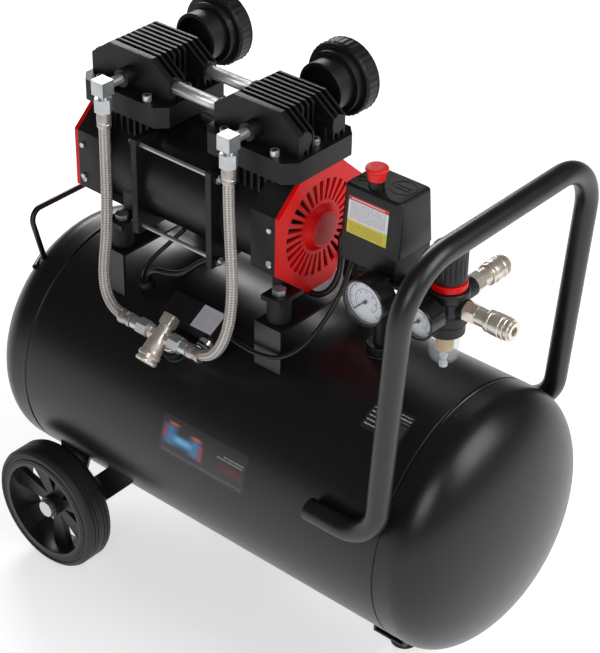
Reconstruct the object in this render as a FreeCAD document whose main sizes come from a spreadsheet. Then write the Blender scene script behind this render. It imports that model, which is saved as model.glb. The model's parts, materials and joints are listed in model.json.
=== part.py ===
import FreeCAD, Part
import math
import os
import re
import Sketcher
from FreeCAD import Placement, Rotation, Vector

# Twin-head oil-free air compressor on a 300 mm tank: two wheels, one rubber foot, carry handle,
# pressure switch, regulator and two quick couplers. Millimetres, +Z up, +X towards the carry
# handle, +Y to the back. Left is -X and right is +X. The origin is on the floor under the middle
# of the tank.

doc = FreeCAD.newDocument("AirCompressor")
sheet = doc.addObject("Spreadsheet::Sheet", "Sizes")

sizes = [
    ("tankRadius", 150, "outer radius of the tank"),
    ("tankWall", 3, "tank wall"),
    ("seamHalf", 253.4, "tank middle to each weld seam"),
    ("lapLength", 12, "lap of each end inside the shell"),
    ("endFlange", 20, "straight flange of a tank end"),
    ("domeDepth", 66, "depth of a tank end's ellipsoid"),
    ("axisHeight", "=tankRadius + 74", "tank axis above the floor"),
    ("bossRadius", 15, "welded pipe boss"),
    ("bossRise", 10, "boss above the tank surface"),
    ("pipeRadius", 8, "pipe thread in a boss"),
    ("drainPlace", -20, "tank drain along X"),
    ("wheelPlace", 210, "wheel axle behind the tank middle"),
    ("tyreRadius", 77, "tyre"),
    ("rimRadius", 62, "wheel rim outside, tyre inside"),
    ("rimWall", 4, "wall of the wheel's drum"),
    ("wheelInner", 137, "inner face of a wheel from the middle plane"),
    ("wheelWidth", 38, "tyre width"),
    ("hubRadius", 13, "wheel hub"),
    ("spokeInner", 6, "half width of a spoke at the hub"),
    ("spokeOuter", 12.5, "half width of a spoke at the rim"),
    ("spokeThick", 8, "spoke along the axle"),
    ("axleRadius", 6, "axle bolt"),
    ("axleHead", 10, "axle bolt head radius"),
    ("runningGap", 0.08, "radial clearance of a running fit"),
    ("partGap", 0.3, "clearance between pieces that move past each other"),
    ("plateThick", 4, "wheel bracket plate"),
    ("plateInner", 126, "wheel bracket plate from the middle plane"),
    ("footPlace", 191, "rubber foot along X"),
    ("footRadius", 16, "rubber foot"),
    ("footHeight", 22, "rubber foot"),
    ("footBracketLong", 44, "foot bracket along X"),
    ("footBracketWide", 60, "foot bracket along Y"),
    ("sheetThick", 3, "bent sheet brackets"),
    ("handleRadius", 12, "carry handle tube"),
    ("handleWall", 1.8, "carry handle tube wall"),
    ("handleFootStart", 172, "handle foot end along X"),
    ("handleFootRise", 50, "handle foot above the tank axis"),
    ("weldSink", 0.6, "how far a welded tube sinks into the tank surface"),
    ("handleLegPlace", 256, "handle leg bottom along X"),
    ("handleTopPlace", 275, "handle crossbar along X"),
    ("handleTopRise", "=tankRadius + 220", "handle crossbar above the tank axis"),
    ("handleFootBend", 46, "bend radius at the foot"),
    ("handleTopBend", 62, "bend radius at the crossbar"),
    ("bailRadius", 3.2, "rear bail rod"),
    ("bailHalf", 88, "rear bail half width"),
    ("bailPlace", "=seamHalf + 45.6", "rear bail behind the tank middle"),
    ("bailRise", "=tankRadius + 32", "rear bail top above the tank axis"),
    ("bailBend", 14, "rear bail bend radius"),
    ("bracketHalf", 80, "pump bracket half width across the tank"),
    ("bracketLong", 36, "pump bracket along X"),
    ("bracketRise", "=tankRadius + 30", "pump bracket top above the tank axis"),
    ("pumpPlace", -94.5, "pump middle along X"),
    ("headSpacing", 177, "between the two cylinder axes"),
    ("bracketLeft", "=pumpPlace - headSpacing / 2 + 6", "rear pump bracket along X"),
    ("bracketRight", "=pumpPlace + headSpacing / 2 + 56", "front pump bracket along X"),
    ("mountHalf", 62, "rubber mounts from the middle plane"),
    ("mountRadius", 13, "rubber mount"),
    ("mountHeight", 26, "rubber mount"),
    ("mountBolt", 4, "mount bolt radius"),
    ("lugThick", 6, "pump foot lug"),
    ("pumpRise", "=bracketRise + 85", "crankshaft above the tank axis"),
    ("motorRadius", 62, "motor housing outside"),
    ("motorWall", 3.5, "motor housing wall"),
    ("coreLength", 60, "stator and rotor stack"),
    ("rotorRadius", 32, "rotor core"),
    ("shaftRadius", 7.5, "crankshaft"),
    ("bearingRadius", 17.5, "ball bearing outside"),
    ("bearingWide", 11, "ball bearing"),
    ("flangeThick", 8, "crankcase flange at the motor"),
    ("flangeHalfWide", 70, "crankcase flange half width"),
    ("flangeHalfTall", 57, "crankcase flange half height"),
    ("crankInner", 39, "cylinder axis to the crankcase's motor face"),
    ("crankRadius", 58, "crankcase barrel"),
    ("crankCavity", 45, "crankcase cavity"),
    ("crankOuter", 20, "cylinder axis to the fan housing"),
    ("fanHousing", 33, "fan housing depth"),
    ("coverDeep", 8, "fan cover rim depth"),
    ("coverWall", 3, "fan cover wall"),
    ("coverDome", 9, "fan cover boss in front of its face"),
    ("octHalfWide", 66, "fan housing octagon half width"),
    ("octTop", 69, "octagon top above the shaft"),
    ("octBottom", 72, "octagon bottom below the shaft"),
    ("octTopHalf", 30, "half of the octagon's top side"),
    ("octBottomHalf", 19, "half of the octagon's bottom side"),
    ("octSideTop", 36, "upper end of the octagon's side"),
    ("octSideBottom", 32, "lower end of the octagon's side"),
    ("slotInner", 1.5, "half width of a cover slot at its inner end"),
    ("slotOuter", 3, "half width of a cover slot at its outer end"),
    ("fanRadius", 53, "fan"),
    ("fanDeep", 8, "fan blade depth"),
    ("fanWall", 40, "cylinder axis to the wall behind the fan"),
    ("throwLength", 5, "crank throw, half of the stroke"),
    ("eccentricRadius", 13, "eccentric on the shaft"),
    ("eccentricWide", 10, "eccentric along the shaft"),
    ("eyeInner", 23.6, "connecting rod eye, inside"),
    ("eyeOuter", 28.5, "connecting rod eye, outside"),
    ("rodWide", 14, "connecting rod"),
    ("rodThick", 8, "connecting rod"),
    ("pistonRadius", 31.5, "piston"),
    ("pistonTall", 10, "piston"),
    ("crownGap", 1, "piston to valve plate at the top of the stroke"),
    ("sleeveRadius", 35, "cylinder sleeve outside"),
    ("sleeveTall", 45, "cylinder sleeve"),
    ("jacketHalf", 42, "cylinder jacket half width"),
    ("deckRise", 75, "cylinder deck above the shaft"),
    ("deckThick", 6, "deck flange"),
    ("valvePlateThick", 4, "valve plate"),
    ("baseHalfLong", 62, "head base half length along X"),
    ("baseHalfWide", 54, "head base half width along Y"),
    ("baseCorner", 12, "cut corners of the head base, valve plate and deck"),
    ("baseThick", 14, "head base"),
    ("headHalfLong", 57, "head plate half length"),
    ("headHalfWide", 36, "head fins half width"),
    ("headSide", 24, "straight side of the head plate"),
    ("headChamfer", 19, "rise of the head's sloping shoulders"),
    ("headTopHalf", 31, "half of the head's flat top"),
    ("spineHalf", 50, "half length of the head's block between the fins"),
    ("spineTall", 14, "the head's block between the fins"),
    ("plateDeep", 8, "head front plate"),
    ("finThick", 3, "fin"),
    ("finPitch", 8, "fin to fin"),
    ("finCount", 8, "fins behind the front plate"),
    ("boltLong", 34, "corner head bolts from the cylinder axis along X"),
    ("boltWide", 46, "corner head bolts from the cylinder axis along Y"),
    ("sideBoltLong", 48, "side head bolts along X"),
    ("boltRadius", 3, "head bolt shank"),
    ("boltHead", 5, "head bolt head radius"),
    ("boltHeadTall", 7, "head bolt head"),
    ("portRise", 16, "outlet and crossover ports above the head base"),
    ("outletBoss", 14, "outlet boss in front of the plate"),
    ("tubeWide", 26, "crossover tubes from the middle plane"),
    ("tubeRadius", 7, "crossover tube"),
    ("tieWide", 62, "tie rods from the shaft along Y"),
    ("tieTall", 49, "tie rods from the shaft along Z"),
    ("tieRadius", 2.5, "tie rod"),
    ("nutRadius", 5.5, "tie rod nut"),
    ("nutTall", 5, "tie rod nut"),
    ("filterRise", 22, "filter axis above the head base"),
    ("filterStart", 64, "filter's open end from the middle plane"),
    ("filterNeck", 28, "filter small body radius"),
    ("filterStep", 34, "filter step radius"),
    ("filterCap", 40, "filter cap radius"),
    ("hoseRadius", 6.2, "braided hose"),
    ("elbowDrop", 77, "elbow axis in front of the middle plane"),
    ("elbowHalf", 8.5, "elbow block half size"),
    ("fittingRadius", 5.5, "stub of a fitting"),
    ("hoseNut", 10, "hose nut across corners, half"),
    ("hoseNutTall", 16, "hose nut"),
    ("ferruleRadius", 7.4, "hose ferrule"),
    ("valveTilt", 41.3, "check valve round the tank from the top, degrees"),
    ("valvePlace", -61.5, "check valve along X"),
    ("valveRise", "=tankRadius + 36.6", "check valve axis from the tank axis"),
    ("valveRadius", 11, "check valve body"),
    ("coilTilt", 29.5, "unloader valve round the tank from the top, degrees"),
    ("grommetPlace", -145, "lead grommet along X"),
    ("leadTilt", 22.8, "lead grommet round the tank from the top, degrees"),
    ("leadRadius", 3.5, "thick electric lead"),
    ("thinLeadRadius", 2.5, "thin electric lead and unloader tube"),
    ("coilLow", "=tankRadius + 9", "unloader coil underside from the tank axis"),
    ("coilTall", 26, "unloader coil"),
    ("coilHalf", 14.5, "unloader coil half width"),
    ("manifoldPlace", 137, "manifold pipe and pressure switch along X"),
    ("manifoldRise", "=tankRadius + 95", "manifold axis above the tank axis"),
    ("manifoldRadius", 11, "manifold block radius"),
    ("switchLow", "=manifoldRise + 17", "pressure switch base above the tank axis"),
    ("switchBaseTall", 24, "pressure switch base"),
    ("switchHalfLong", 37, "pressure switch half length at its base"),
    ("switchHalfWide", 30, "pressure switch half width at its base"),
    ("coverTall", 62, "pressure switch cover"),
    ("coverTopLong", 35.5, "pressure switch half length at its top"),
    ("coverTopWide", 25, "pressure switch half width at its top"),
    ("knobPlace", -6, "switch knob from the switch middle along X"),
    ("knobFront", -12, "switch knob from the middle plane"),
    ("knobRadius", 11.8, "switch knob"),
    ("knobTall", 14, "switch knob cap"),
    ("knobBoss", 8, "guide boss under the switch knob: radius and height"),
    ("knobTravel", 6, "switch knob travel"),
    ("tankGaugePlace", 157, "tank gauge along X"),
    ("tankGaugeRadius", 26, "tank gauge"),
    ("tankGaugeFront", 60, "tank gauge face in front of the middle plane"),
    ("outletGaugeRadius", 20, "outlet gauge"),
    ("outletGaugeFront", 52, "outlet gauge face in front of the middle plane"),
    ("gaugeDeep", 26, "gauge case depth"),
    ("regulatorPlace", 217, "regulator axis along X"),
    ("regulatorRadius", 20, "regulator body"),
    ("regulatorLow", "=manifoldRise - 33", "regulator body underside above the tank axis"),
    ("regulatorTall", 52, "regulator body"),
    ("ringRadius", 19, "red lock ring"),
    ("ringTall", 8, "red lock ring"),
    ("dialKnobRadius", 18, "regulator knob"),
    ("dialKnobTall", 38, "regulator knob"),
    ("bowlRadius", 16.5, "clear bowl"),
    ("bowlWall", 2, "clear bowl wall"),
    ("bowlTall", 36, "clear bowl"),
    ("couplerSocket", 5, "coupler socket radius"),
    ("socketDeep", 22, "coupler socket depth"),
    ("couplerRadius", 9.5, "coupler body"),
    ("couplerLong", 57, "coupler without its boss"),
    ("backBoss", 15, "how much longer the back outlet's boss is"),
    ("sleeveOut", 12.2, "coupler sleeve outside"),
    ("sleeveLong", 24, "coupler sleeve"),
]
for row, (alias, size, meaning) in enumerate(sizes, start=1):
    sheet.set("A%d" % row, meaning)
    sheet.set("B%d" % row, str(size))
    sheet.setAlias("B%d" % row, alias)
doc.recompute()

number = {alias: float(sheet.get(alias)) for alias, _, _ in sizes}
functions = ("sqrt", "sin", "cos", "tan", "deg")
nodes = []
n = number

toX = Rotation(Vector(0, 1, 0), 90)
toY = Rotation(Vector(1, 0, 0), -90)
upright = Rotation()
turns = {"X": toX, "Y": toY, "Z": upright}


def bound(formula):
    """The formula with each size word pointing at its cell."""
    def cell(found):
        word = found.group(0)
        return word if word in functions else "Sizes." + word
    return re.sub(r"[a-z][A-Za-z]+", cell, str(formula))


def place(piece, x=0, y=0, z=0, turn=upright):
    """Put a piece at three formulas, turned by a fixed rotation."""
    piece.Placement = Placement(Vector(0, 0, 0), turn)
    for axis, formula in (("x", x), ("y", y), ("z", z)):
        piece.setExpression("Placement.Base." + axis, bound(formula))
    return piece


def rod(radius, start, length, axis="X", x=0, y=0, z=0, name="Rod"):
    """A cylinder along an axis from start, over length; x, y, z place its axis."""
    piece = doc.addObject("Part::Cylinder", name)
    piece.setExpression("Radius", bound(radius))
    piece.setExpression("Height", bound(length))
    at = {"X": x, "Y": y, "Z": z}
    at[axis] = "%s + (%s)" % (at[axis], start)
    return place(piece, at["X"], at["Y"], at["Z"], turns[axis])


def cone(radius, topRadius, start, length, axis="Z", x=0, y=0, z=0):
    """A cone along an axis from start, over length."""
    piece = doc.addObject("Part::Cone", "Cone")
    piece.setExpression("Radius1", bound(radius))
    piece.setExpression("Radius2", bound(topRadius))
    piece.setExpression("Height", bound(length))
    at = {"X": x, "Y": y, "Z": z}
    at[axis] = "%s + (%s)" % (at[axis], start)
    return place(piece, at["X"], at["Y"], at["Z"], turns[axis])


def hexagon(radius, start, length, axis="Z", x=0, y=0, z=0):
    """A hexagonal prism, radius to its corners."""
    piece = doc.addObject("Part::Prism", "Hexagon")
    piece.Polygon = 6
    piece.setExpression("Circumradius", bound(radius))
    piece.setExpression("Height", bound(length))
    at = {"X": x, "Y": y, "Z": z}
    at[axis] = "%s + (%s)" % (at[axis], start)
    return place(piece, at["X"], at["Y"], at["Z"], turns[axis])


def block(long, wide, tall, x=0, y=0, z=0):
    """A box centred on x and y, standing on z."""
    piece = doc.addObject("Part::Box", "Block")
    piece.setExpression("Length", bound(long))
    piece.setExpression("Width", bound(wide))
    piece.setExpression("Height", bound(tall))
    return place(piece, "%s - (%s) / 2" % (x, long), "%s - (%s) / 2" % (y, wide), z)


def fused(*pieces):
    """One solid from pieces that overlap or touch."""
    piece = doc.addObject("Part::MultiFuse", "Joined")
    piece.Shapes = list(pieces)
    piece.Refine = True
    return piece


def cut(base, *tools):
    """The base without the tools."""
    piece = doc.addObject("Part::Cut", "Cut")
    piece.Base = base
    piece.Tool = tools[0] if len(tools) == 1 else fused(*tools)
    return piece


def group(*pieces):
    """Separate solids that share one node."""
    piece = doc.addObject("Part::Compound", "Group")
    piece.Links = list(pieces)
    return piece


def mirrored(source, normal, base=0):
    """A mirror copy across the plane with this normal, at base along X."""
    piece = doc.addObject("Part::Mirroring", "Mirrored")
    piece.Source = source
    piece.Normal = normal
    piece.setExpression("Base.x", bound(base))
    return piece


def acrossPump(source):
    """The other side's copy, across the pump's middle."""
    return mirrored(source, Vector(1, 0, 0), "pumpPlace")


def acrossMiddle(source):
    """The other side's copy, across the middle plane of the tank."""
    return mirrored(source, Vector(0, 1, 0))


def copyOf(source, x=0, y=0, z=0):
    """A copy of a piece, moved by three formulas."""
    piece = doc.addObject("Part::Compound", "Copy")
    piece.Links = [source]
    return place(piece, x, y, z)


def tilted(piece, tilt):
    """Turn a piece modelled on top of the tank round the tank axis, towards the front."""
    piece.Placement = Placement(Vector(0, 0, 0), Rotation(Vector(1, 0, 0), number[tilt]))
    piece.setExpression("Placement.Base.z", bound("axisHeight"))
    piece.setExpression("Placement.Rotation.Angle", bound(tilt))
    return piece


def outline(points, depth, plane="YZ_Plane", x=0, y=0, z=0, reverse=False):
    """A PartDesign body: a closed outline of straight sides, padded to a depth."""
    body = doc.addObject("PartDesign::Body", "Outline")
    sketch = body.newObject("Sketcher::SketchObject", "Sides")
    origin = [item for item in body.Origin.OriginFeatures if item.Role == plane][0]
    sketch.AttachmentSupport = [(origin, "")]
    sketch.MapMode = "FlatFace"
    count = len(points)
    # the sides start on a circle, and the dimensions below carry each corner to its place
    corners = [Vector(10 * math.cos(2 * math.pi * k / count), 10 * math.sin(2 * math.pi * k / count), 0)
               for k in range(count)]
    for k in range(count):
        sketch.addGeometry(Part.LineSegment(corners[k], corners[(k + 1) % count]), False)
    for k in range(count):
        sketch.addConstraint(Sketcher.Constraint("Coincident", k, 2, (k + 1) % count, 1))
    for k, formulas in enumerate(points):
        for kind, formula, at in zip(("DistanceX", "DistanceY"), formulas, corners[k]):
            dimension = sketch.addConstraint(Sketcher.Constraint(kind, -1, 1, k, 1, at))
            sketch.setExpression("Constraints[%d]" % dimension, bound(formula))
    pad = body.newObject("PartDesign::Pad", "Depth")
    pad.Profile = sketch
    pad.setExpression("Length", bound(depth))
    pad.Reversed = reverse
    return place(body, x, y, z)


def route(points, bends):
    """Straight runs joined by tangent arcs: bends gives the radius at each inner point."""
    edges = []
    start = points[0]
    for before, corner, after, radius in zip(points, points[1:], points[2:], bends):
        back = (before - corner).normalize()
        ahead = (after - corner).normalize()
        half = back.getAngle(ahead) / 2
        reach = radius / math.tan(half)
        first = corner + back * reach
        last = corner + ahead * reach
        middle = corner + (back + ahead).normalize() * (radius / math.sin(half) - radius)
        edges.append(Part.LineSegment(start, first).toShape())
        edges.append(Part.Arc(first, middle, last).toShape())
        start = last
    edges.append(Part.LineSegment(start, points[-1]).toShape())
    return Part.Wire(edges)


def tube(points, bends, radius):
    """A round bar of a radius along a route."""
    wire = route(points, bends)
    ahead = points[1] - points[0]
    ring = Part.Wire([Part.makeCircle(radius, points[0], ahead)])
    return wire.makePipeShell([ring], True, False), wire


def cordBends(points, label, diameter):
    """Each arc as large as its runs allow: 0.45 of the shorter run over tan of half the turn."""
    bends = []
    for before, corner, after in zip(points, points[1:], points[2:]):
        turn = (corner - before).getAngle(after - corner)
        run = min((corner - before).Length, (after - corner).Length)
        bends.append(0.45 * run / math.tan(turn / 2))
    print(label, "bend radii", [round(bend, 1) for bend in bends], "diameter", diameter)
    return bends


def cord(points, radius, label):
    """A hose or lead along its route; its volume is compared with section times length."""
    corners = [Vector(x, y, z + number["axisHeight"]) for x, y, z in points]
    bends = cordBends(corners, label, 2 * radius)
    shape, wire = tube(corners, bends, radius)
    print(label, "length", round(wire.Length, 1), "volume ratio",
          round(shape.Volume / (math.pi * radius ** 2 * wire.Length), 4))
    return feature(shape, label)


def feature(shape, name):
    """A shape worked out by Part's own functions, as an object of the document."""
    piece = doc.addObject("Part::Feature", name.title().replace("_", ""))
    piece.Shape = shape
    return piece


def node(label, piece):
    """Name a finished sub-part; its name is its file's name."""
    piece.Label = label
    nodes.append(piece)
    return piece


axis = "axisHeight"
crank = "axisHeight + pumpRise"
rightHead = "pumpPlace + headSpacing / 2"
deck = crank + " + deckRise"
headBase = deck + " + valvePlateThick"
headTop = headBase + " + baseThick"
outletZ = headTop + " + portRise"

# ---- tank ----

def domed(radius, depth):
    """Straight flange and half ellipsoid of one tank end."""
    dome = doc.addObject("Part::Ellipsoid", "Dome")
    dome.setExpression("Radius1", bound(depth))
    dome.setExpression("Radius2", bound(radius))
    dome.setExpression("Radius3", bound(radius))
    dome.Angle1 = 0
    place(dome, "seamHalf + endFlange", 0, axis, toX)
    return dome


def tankOuter():
    """The tank's outside as one solid, for what is welded to it."""
    right = domed("tankRadius", "domeDepth")
    body = rod("tankRadius", "-seamHalf - endFlange", "2 * (seamHalf + endFlange)", z=axis)
    return fused(body, right, mirrored(right, Vector(1, 0, 0)))


tank = tankOuter()


def boss(radius, low, top, along, tilt):
    """A pipe boss or its bore, standing on the tank's top, its underside, or turned by a tilt's size."""
    piece = group(rod(radius, low, "%s - (%s)" % (top, low), "Z", x=along))
    if tilt == "top":
        return place(piece, 0, 0, axis)
    if tilt == "bottom":
        piece.Placement = Placement(Vector(0, 0, 0), Rotation(Vector(1, 0, 0), 180))
        piece.setExpression("Placement.Base.z", bound(axis))
        return piece
    return tilted(piece, tilt)


bossPlaces = (("manifoldPlace", "top"), ("valvePlace", "valveTilt"), ("drainPlace", "bottom"))
bossHoles = [boss("bossRadius", "tankRadius - 2 * bossRadius", "tankRadius + bossRise + 1", *spot)
             for spot in bossPlaces]
bossBodies = [cut(boss("bossRadius", "tankRadius - 2 * tankWall", "tankRadius + bossRise", *spot),
                  boss("pipeRadius", "tankRadius - 3 * tankWall", "tankRadius + bossRise + 1", *spot))
              for spot in bossPlaces]
shell = cut(rod("tankRadius", "-seamHalf", "2 * seamHalf", z=axis),
            rod("tankRadius - tankWall", "-seamHalf - 1", "2 * seamHalf + 2", z=axis), *bossHoles)
node("tank_shell", shell)
node("tank_bosses", group(*bossBodies))

lap = cut(rod("tankRadius - tankWall", "seamHalf - lapLength", "lapLength + tankWall", z=axis),
          rod("tankRadius - 2 * tankWall", "seamHalf - lapLength - 1", "lapLength + tankWall + 2", z=axis))
flange = cut(rod("tankRadius", "seamHalf", "endFlange", z=axis),
             rod("tankRadius - tankWall", "seamHalf - 1", "endFlange + 2", z=axis))
dish = cut(domed("tankRadius", "domeDepth"), domed("tankRadius - tankWall", "domeDepth - tankWall"))
rightEnd = fused(flange, dish, lap)
node("tank_ends", group(rightEnd, mirrored(rightEnd, Vector(1, 0, 0))))

# ---- wheels, feet ----

axleZ = "tyreRadius"
axleX = "-wheelPlace"
tyre = cut(rod("tyreRadius", "wheelInner", "wheelWidth", "Y", axleX, 0, axleZ),
           rod("rimRadius", "wheelInner - 1", "wheelWidth + 2", "Y", axleX, 0, axleZ))
node("tyre_back", tyre)
node("tyre_front", acrossMiddle(tyre))
drum = cut(rod("rimRadius", "wheelInner", "wheelWidth", "Y", axleX, 0, axleZ),
           rod("rimRadius - rimWall", "wheelInner - 1", "wheelWidth + 2", "Y", axleX, 0, axleZ))
hub = rod("hubRadius", "wheelInner", "wheelWidth - 8", "Y", axleX, 0, axleZ)


def spoke(k):
    """One tapered spoke from the hub to the rim, turned about the axle."""
    piece = doc.addObject("Part::Wedge", "Spoke")
    for side, formula in (("Xmin", "-spokeInner"), ("Xmax", "spokeInner"), ("X2min", "-spokeOuter"),
                          ("X2max", "spokeOuter"), ("Zmin", "0"), ("Zmax", "spokeThick"), ("Z2min", "0"),
                          ("Z2max", "spokeThick"), ("Ymin", "hubRadius - 2"), ("Ymax", "rimRadius - 2")):
        piece.setExpression(side, bound(formula))
    lean = Rotation(Vector(0, 1, 0), 360 * (k + 0.4) / spokeCount) * Rotation(Vector(1, 0, 0), 90)
    return place(piece, axleX, "wheelInner + wheelWidth * 0.5", axleZ, lean)


spokeCount = 7
axleHole = rod("axleRadius + runningGap", "wheelInner - 1", "wheelWidth", "Y", axleX, 0, axleZ)
rim = cut(fused(drum, hub, *[spoke(k) for k in range(spokeCount)]), axleHole)
node("wheel_back", rim)
node("wheel_front", acrossMiddle(rim))
headOut = "wheelInner + wheelWidth - 8 + partGap"
axle = fused(rod("axleRadius", "plateInner - 8", "wheelInner + wheelWidth - plateInner + partGap + 1",
                 "Y", axleX, 0, axleZ),
             rod("axleHead", headOut, "5", "Y", axleX, 0, axleZ),
             hexagon("axleHead", "plateInner + plateThick",
                     "wheelInner - plateInner - plateThick - partGap", "Y", axleX, 0, axleZ),
             hexagon("axleHead", "plateInner - 7", "7", "Y", axleX, 0, axleZ))
node("axle_bolts", group(axle, acrossMiddle(axle)))

plateSides = [(-12, 80), (-18, 0), (-14, -12), (-4, -19), (10, -17), (53, 13), (101, 66), (112, 80)]
plate = outline(plateSides, "plateThick", "XZ_Plane", axleX, "plateInner", axleZ, True)
plateWindow = outline([(27, 46), (37, 80), (73, 80), (35, 39)], "plateThick + 2", "XZ_Plane",
                      axleX, "plateInner - 1", axleZ, True)
plateHole = rod("axleRadius", "plateInner - 1", "plateThick + 2", "Y", axleX, 0, axleZ)
wheelPlate = cut(plate, plateWindow, plateHole, tank)
footBracket = cut(block("footBracketLong", "footBracketWide", "tankRadius", "footPlace", 0, "footHeight"),
                  block("footBracketLong - 2 * sheetThick", "footBracketWide + 2", "tankRadius",
                        "footPlace", 0, "footHeight + sheetThick"),
                  tank, rod("mountBolt", 0, "2 * footHeight", "Z", "footPlace"))
node("support_brackets", group(wheelPlate, acrossMiddle(wheelPlate), footBracket))
footStud = fused(rod("mountBolt", "footHeight / 2", "footHeight / 2 + sheetThick + 8", "Z", "footPlace"),
                 hexagon("2 * mountBolt", "footHeight + sheetThick", "6", "Z", "footPlace"))
node("rubber_foot", cut(cone("footRadius", "footRadius - 3", 0, "footHeight", "Z", "footPlace"),
                        rod("mountBolt", "footHeight / 2", "footHeight", "Z", "footPlace")))

# ---- carry handle and rear bail ----

def handleRoute(shorter):
    """Foot, leg, crossbar, leg, foot; shorter takes a length off both ends."""
    reach = n["tankRadius"] + n["handleRadius"] - n["weldSink"]
    half = math.sqrt(reach ** 2 - n["handleFootRise"] ** 2)
    footZ = n["axisHeight"] + n["handleFootRise"]
    topZ = n["axisHeight"] + n["handleTopRise"]
    side = [Vector(n["handleFootStart"] + shorter, -half, footZ),
            Vector(n["handleLegPlace"], -half, footZ),
            Vector(n["handleTopPlace"], -half, topZ)]
    back = [Vector(corner.x, -corner.y, corner.z) for corner in reversed(side)]
    return side + back


handleBends = [number["handleFootBend"], number["handleTopBend"], number["handleTopBend"],
               number["handleFootBend"]]
outer = tube(handleRoute(0), handleBends, number["handleRadius"])[0]
inner = tube(handleRoute(8), handleBends, number["handleRadius"] - number["handleWall"])[0]
node("carry_handle", cut(feature(outer.cut(inner), "CarryHandle"), tank))

bailTop = number["axisHeight"] + number["bailRise"]
bailLow = number["axisHeight"] + number["tankRadius"] * 0.62
bailX = -number["bailPlace"]
bailEnds = [Vector(bailX + 14, -number["bailHalf"] + 14, bailLow),
            Vector(bailX, -number["bailHalf"], bailTop)]
bailPath = bailEnds + [Vector(corner.x, -corner.y, corner.z) for corner in reversed(bailEnds)]
bail = feature(tube(bailPath, [number["bailBend"]] * 2, number["bailRadius"])[0], "Bail")
footLow = number["axisHeight"] + 112
bailFoot = feature(tube([Vector(-308, -65, footLow), Vector(-292.5, -91, footLow + 2)], [],
                        number["bailRadius"])[0], "BailFoot")
node("rear_bail", cut(fused(bail, bailFoot, acrossMiddle(bailFoot)), tank))

# ---- pump brackets and rubber mounts ----

underTop = "axisHeight + bracketRise"


def bridge(at):
    """A bent strip over the tank with two bolt holes."""
    strip = block("bracketLong", "2 * bracketHalf", "bracketRise", at, 0, axis)
    inside = block("bracketLong + 2", "2 * (bracketHalf - sheetThick)", "bracketRise - sheetThick", at, 0,
                   axis)
    holes = [rod("mountBolt", "bracketRise / 2", "bracketRise", "Z", at, side, axis)
             for side in ("mountHalf", "-mountHalf")]
    return cut(strip, inside, tank, *holes)


node("mount_brackets", group(bridge("bracketLeft"), bridge("bracketRight")))
spots = [(at, side) for at in ("bracketLeft", "bracketRight") for side in ("mountHalf", "-mountHalf")]
mounts = [cut(rod("mountRadius", 0, "mountHeight", "Z", at, side, underTop),
              rod("mountBolt", -1, "mountHeight + 2", "Z", at, side, underTop)) for at, side in spots]
node("rubber_mounts", group(*mounts))
lugTop = "mountHeight + lugThick"
studs = [fused(rod("mountBolt", "-sheetThick - 8", "sheetThick + 8 + " + lugTop, "Z", at, side, underTop),
               hexagon("2 * mountBolt", lugTop, "mountBolt + 2", "Z", at, side, underTop),
               hexagon("2 * mountBolt", "-sheetThick - 7", "7", "Z", at, side,
                       underTop)) for at, side in spots]
node("mount_bolts", group(footStud, *studs))

# ---- pump: crankcases ----


def deckPlate(depth, z):
    """A plate of the cylinder deck's outline: a rectangle with its corners cut."""
    long, wide, cutOff = "baseHalfLong", "baseHalfWide", " - baseCorner"
    corners = [(long, wide + cutOff), (long + cutOff, wide), ("-(%s)" % (long + cutOff), wide),
               ("-" + long, wide + cutOff), ("-" + long, "-(%s)" % (wide + cutOff)),
               ("-(%s)" % (long + cutOff), "-" + wide), (long + cutOff, "-" + wide),
               (long, "-(%s)" % (wide + cutOff))]
    return outline(corners, depth, "XY_Plane", rightHead, 0, z)


octagon = [("-octTopHalf", "octTop"), ("octTopHalf", "octTop"), ("octHalfWide", "octSideTop"),
           ("octHalfWide", "-octSideBottom"), ("octBottomHalf", "-octBottom"), ("-octBottomHalf",
                                                                                "-octBottom"),
           ("-octHalfWide", "-octSideBottom"), ("-octHalfWide", "octSideTop")]


def octagonal(start, depth, smaller=0):
    """The fan housing's octagon, padded outwards from the right cylinder axis."""
    def shrink(formula):
        sign = "+" if formula.startswith("-") else "-"
        return "%s %s %s" % (formula, sign, smaller)
    sides = [(shrink(u), shrink(v)) for u, v in octagon] if smaller else octagon
    return outline(sides, depth, "YZ_Plane", "%s + %s" % (rightHead, start), 0, crank)


def along(radius, start, length):
    """A cylinder on the crankshaft axis, start counted outwards from the right cylinder axis."""
    return rod(radius, start, length, "X", rightHead, 0, crank)


def atHead(radius, start, length, x=0, y=0):
    """A vertical cylinder at the right head, start counted from the crankshaft."""
    return rod(radius, start, length, "Z", "%s + %s" % (rightHead, x), y, crank)


def headBolts(radius, start, length):
    """The six head bolts' cylinders of one head."""
    corners = [(a + "boltLong", b + "boltWide") for a in ("", "-") for b in ("", "-")]
    sides = [("sideBoltLong", "0"), ("-sideBoltLong", "0")]
    return [atHead(radius, start, length, x, y) for x, y in corners + sides]


tieSpots = [(a + "tieWide", "%s %s tieTall" % (crank, b)) for a in ("", "-") for b in ("+", "-")]


def lug(at, webPlace, webTall):
    """Both feet under a crankcase, each with its web."""
    low = underTop + " + mountHeight"
    plates = []
    for side in ("", "-"):
        plates.append(block("2 * mountRadius", "38", "lugThick", at, side + "(mountHalf - 5)", low))
        plates.append(block("14", "14", webTall, webPlace, side + "(mountHalf - 17)", low))
    return plates


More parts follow.
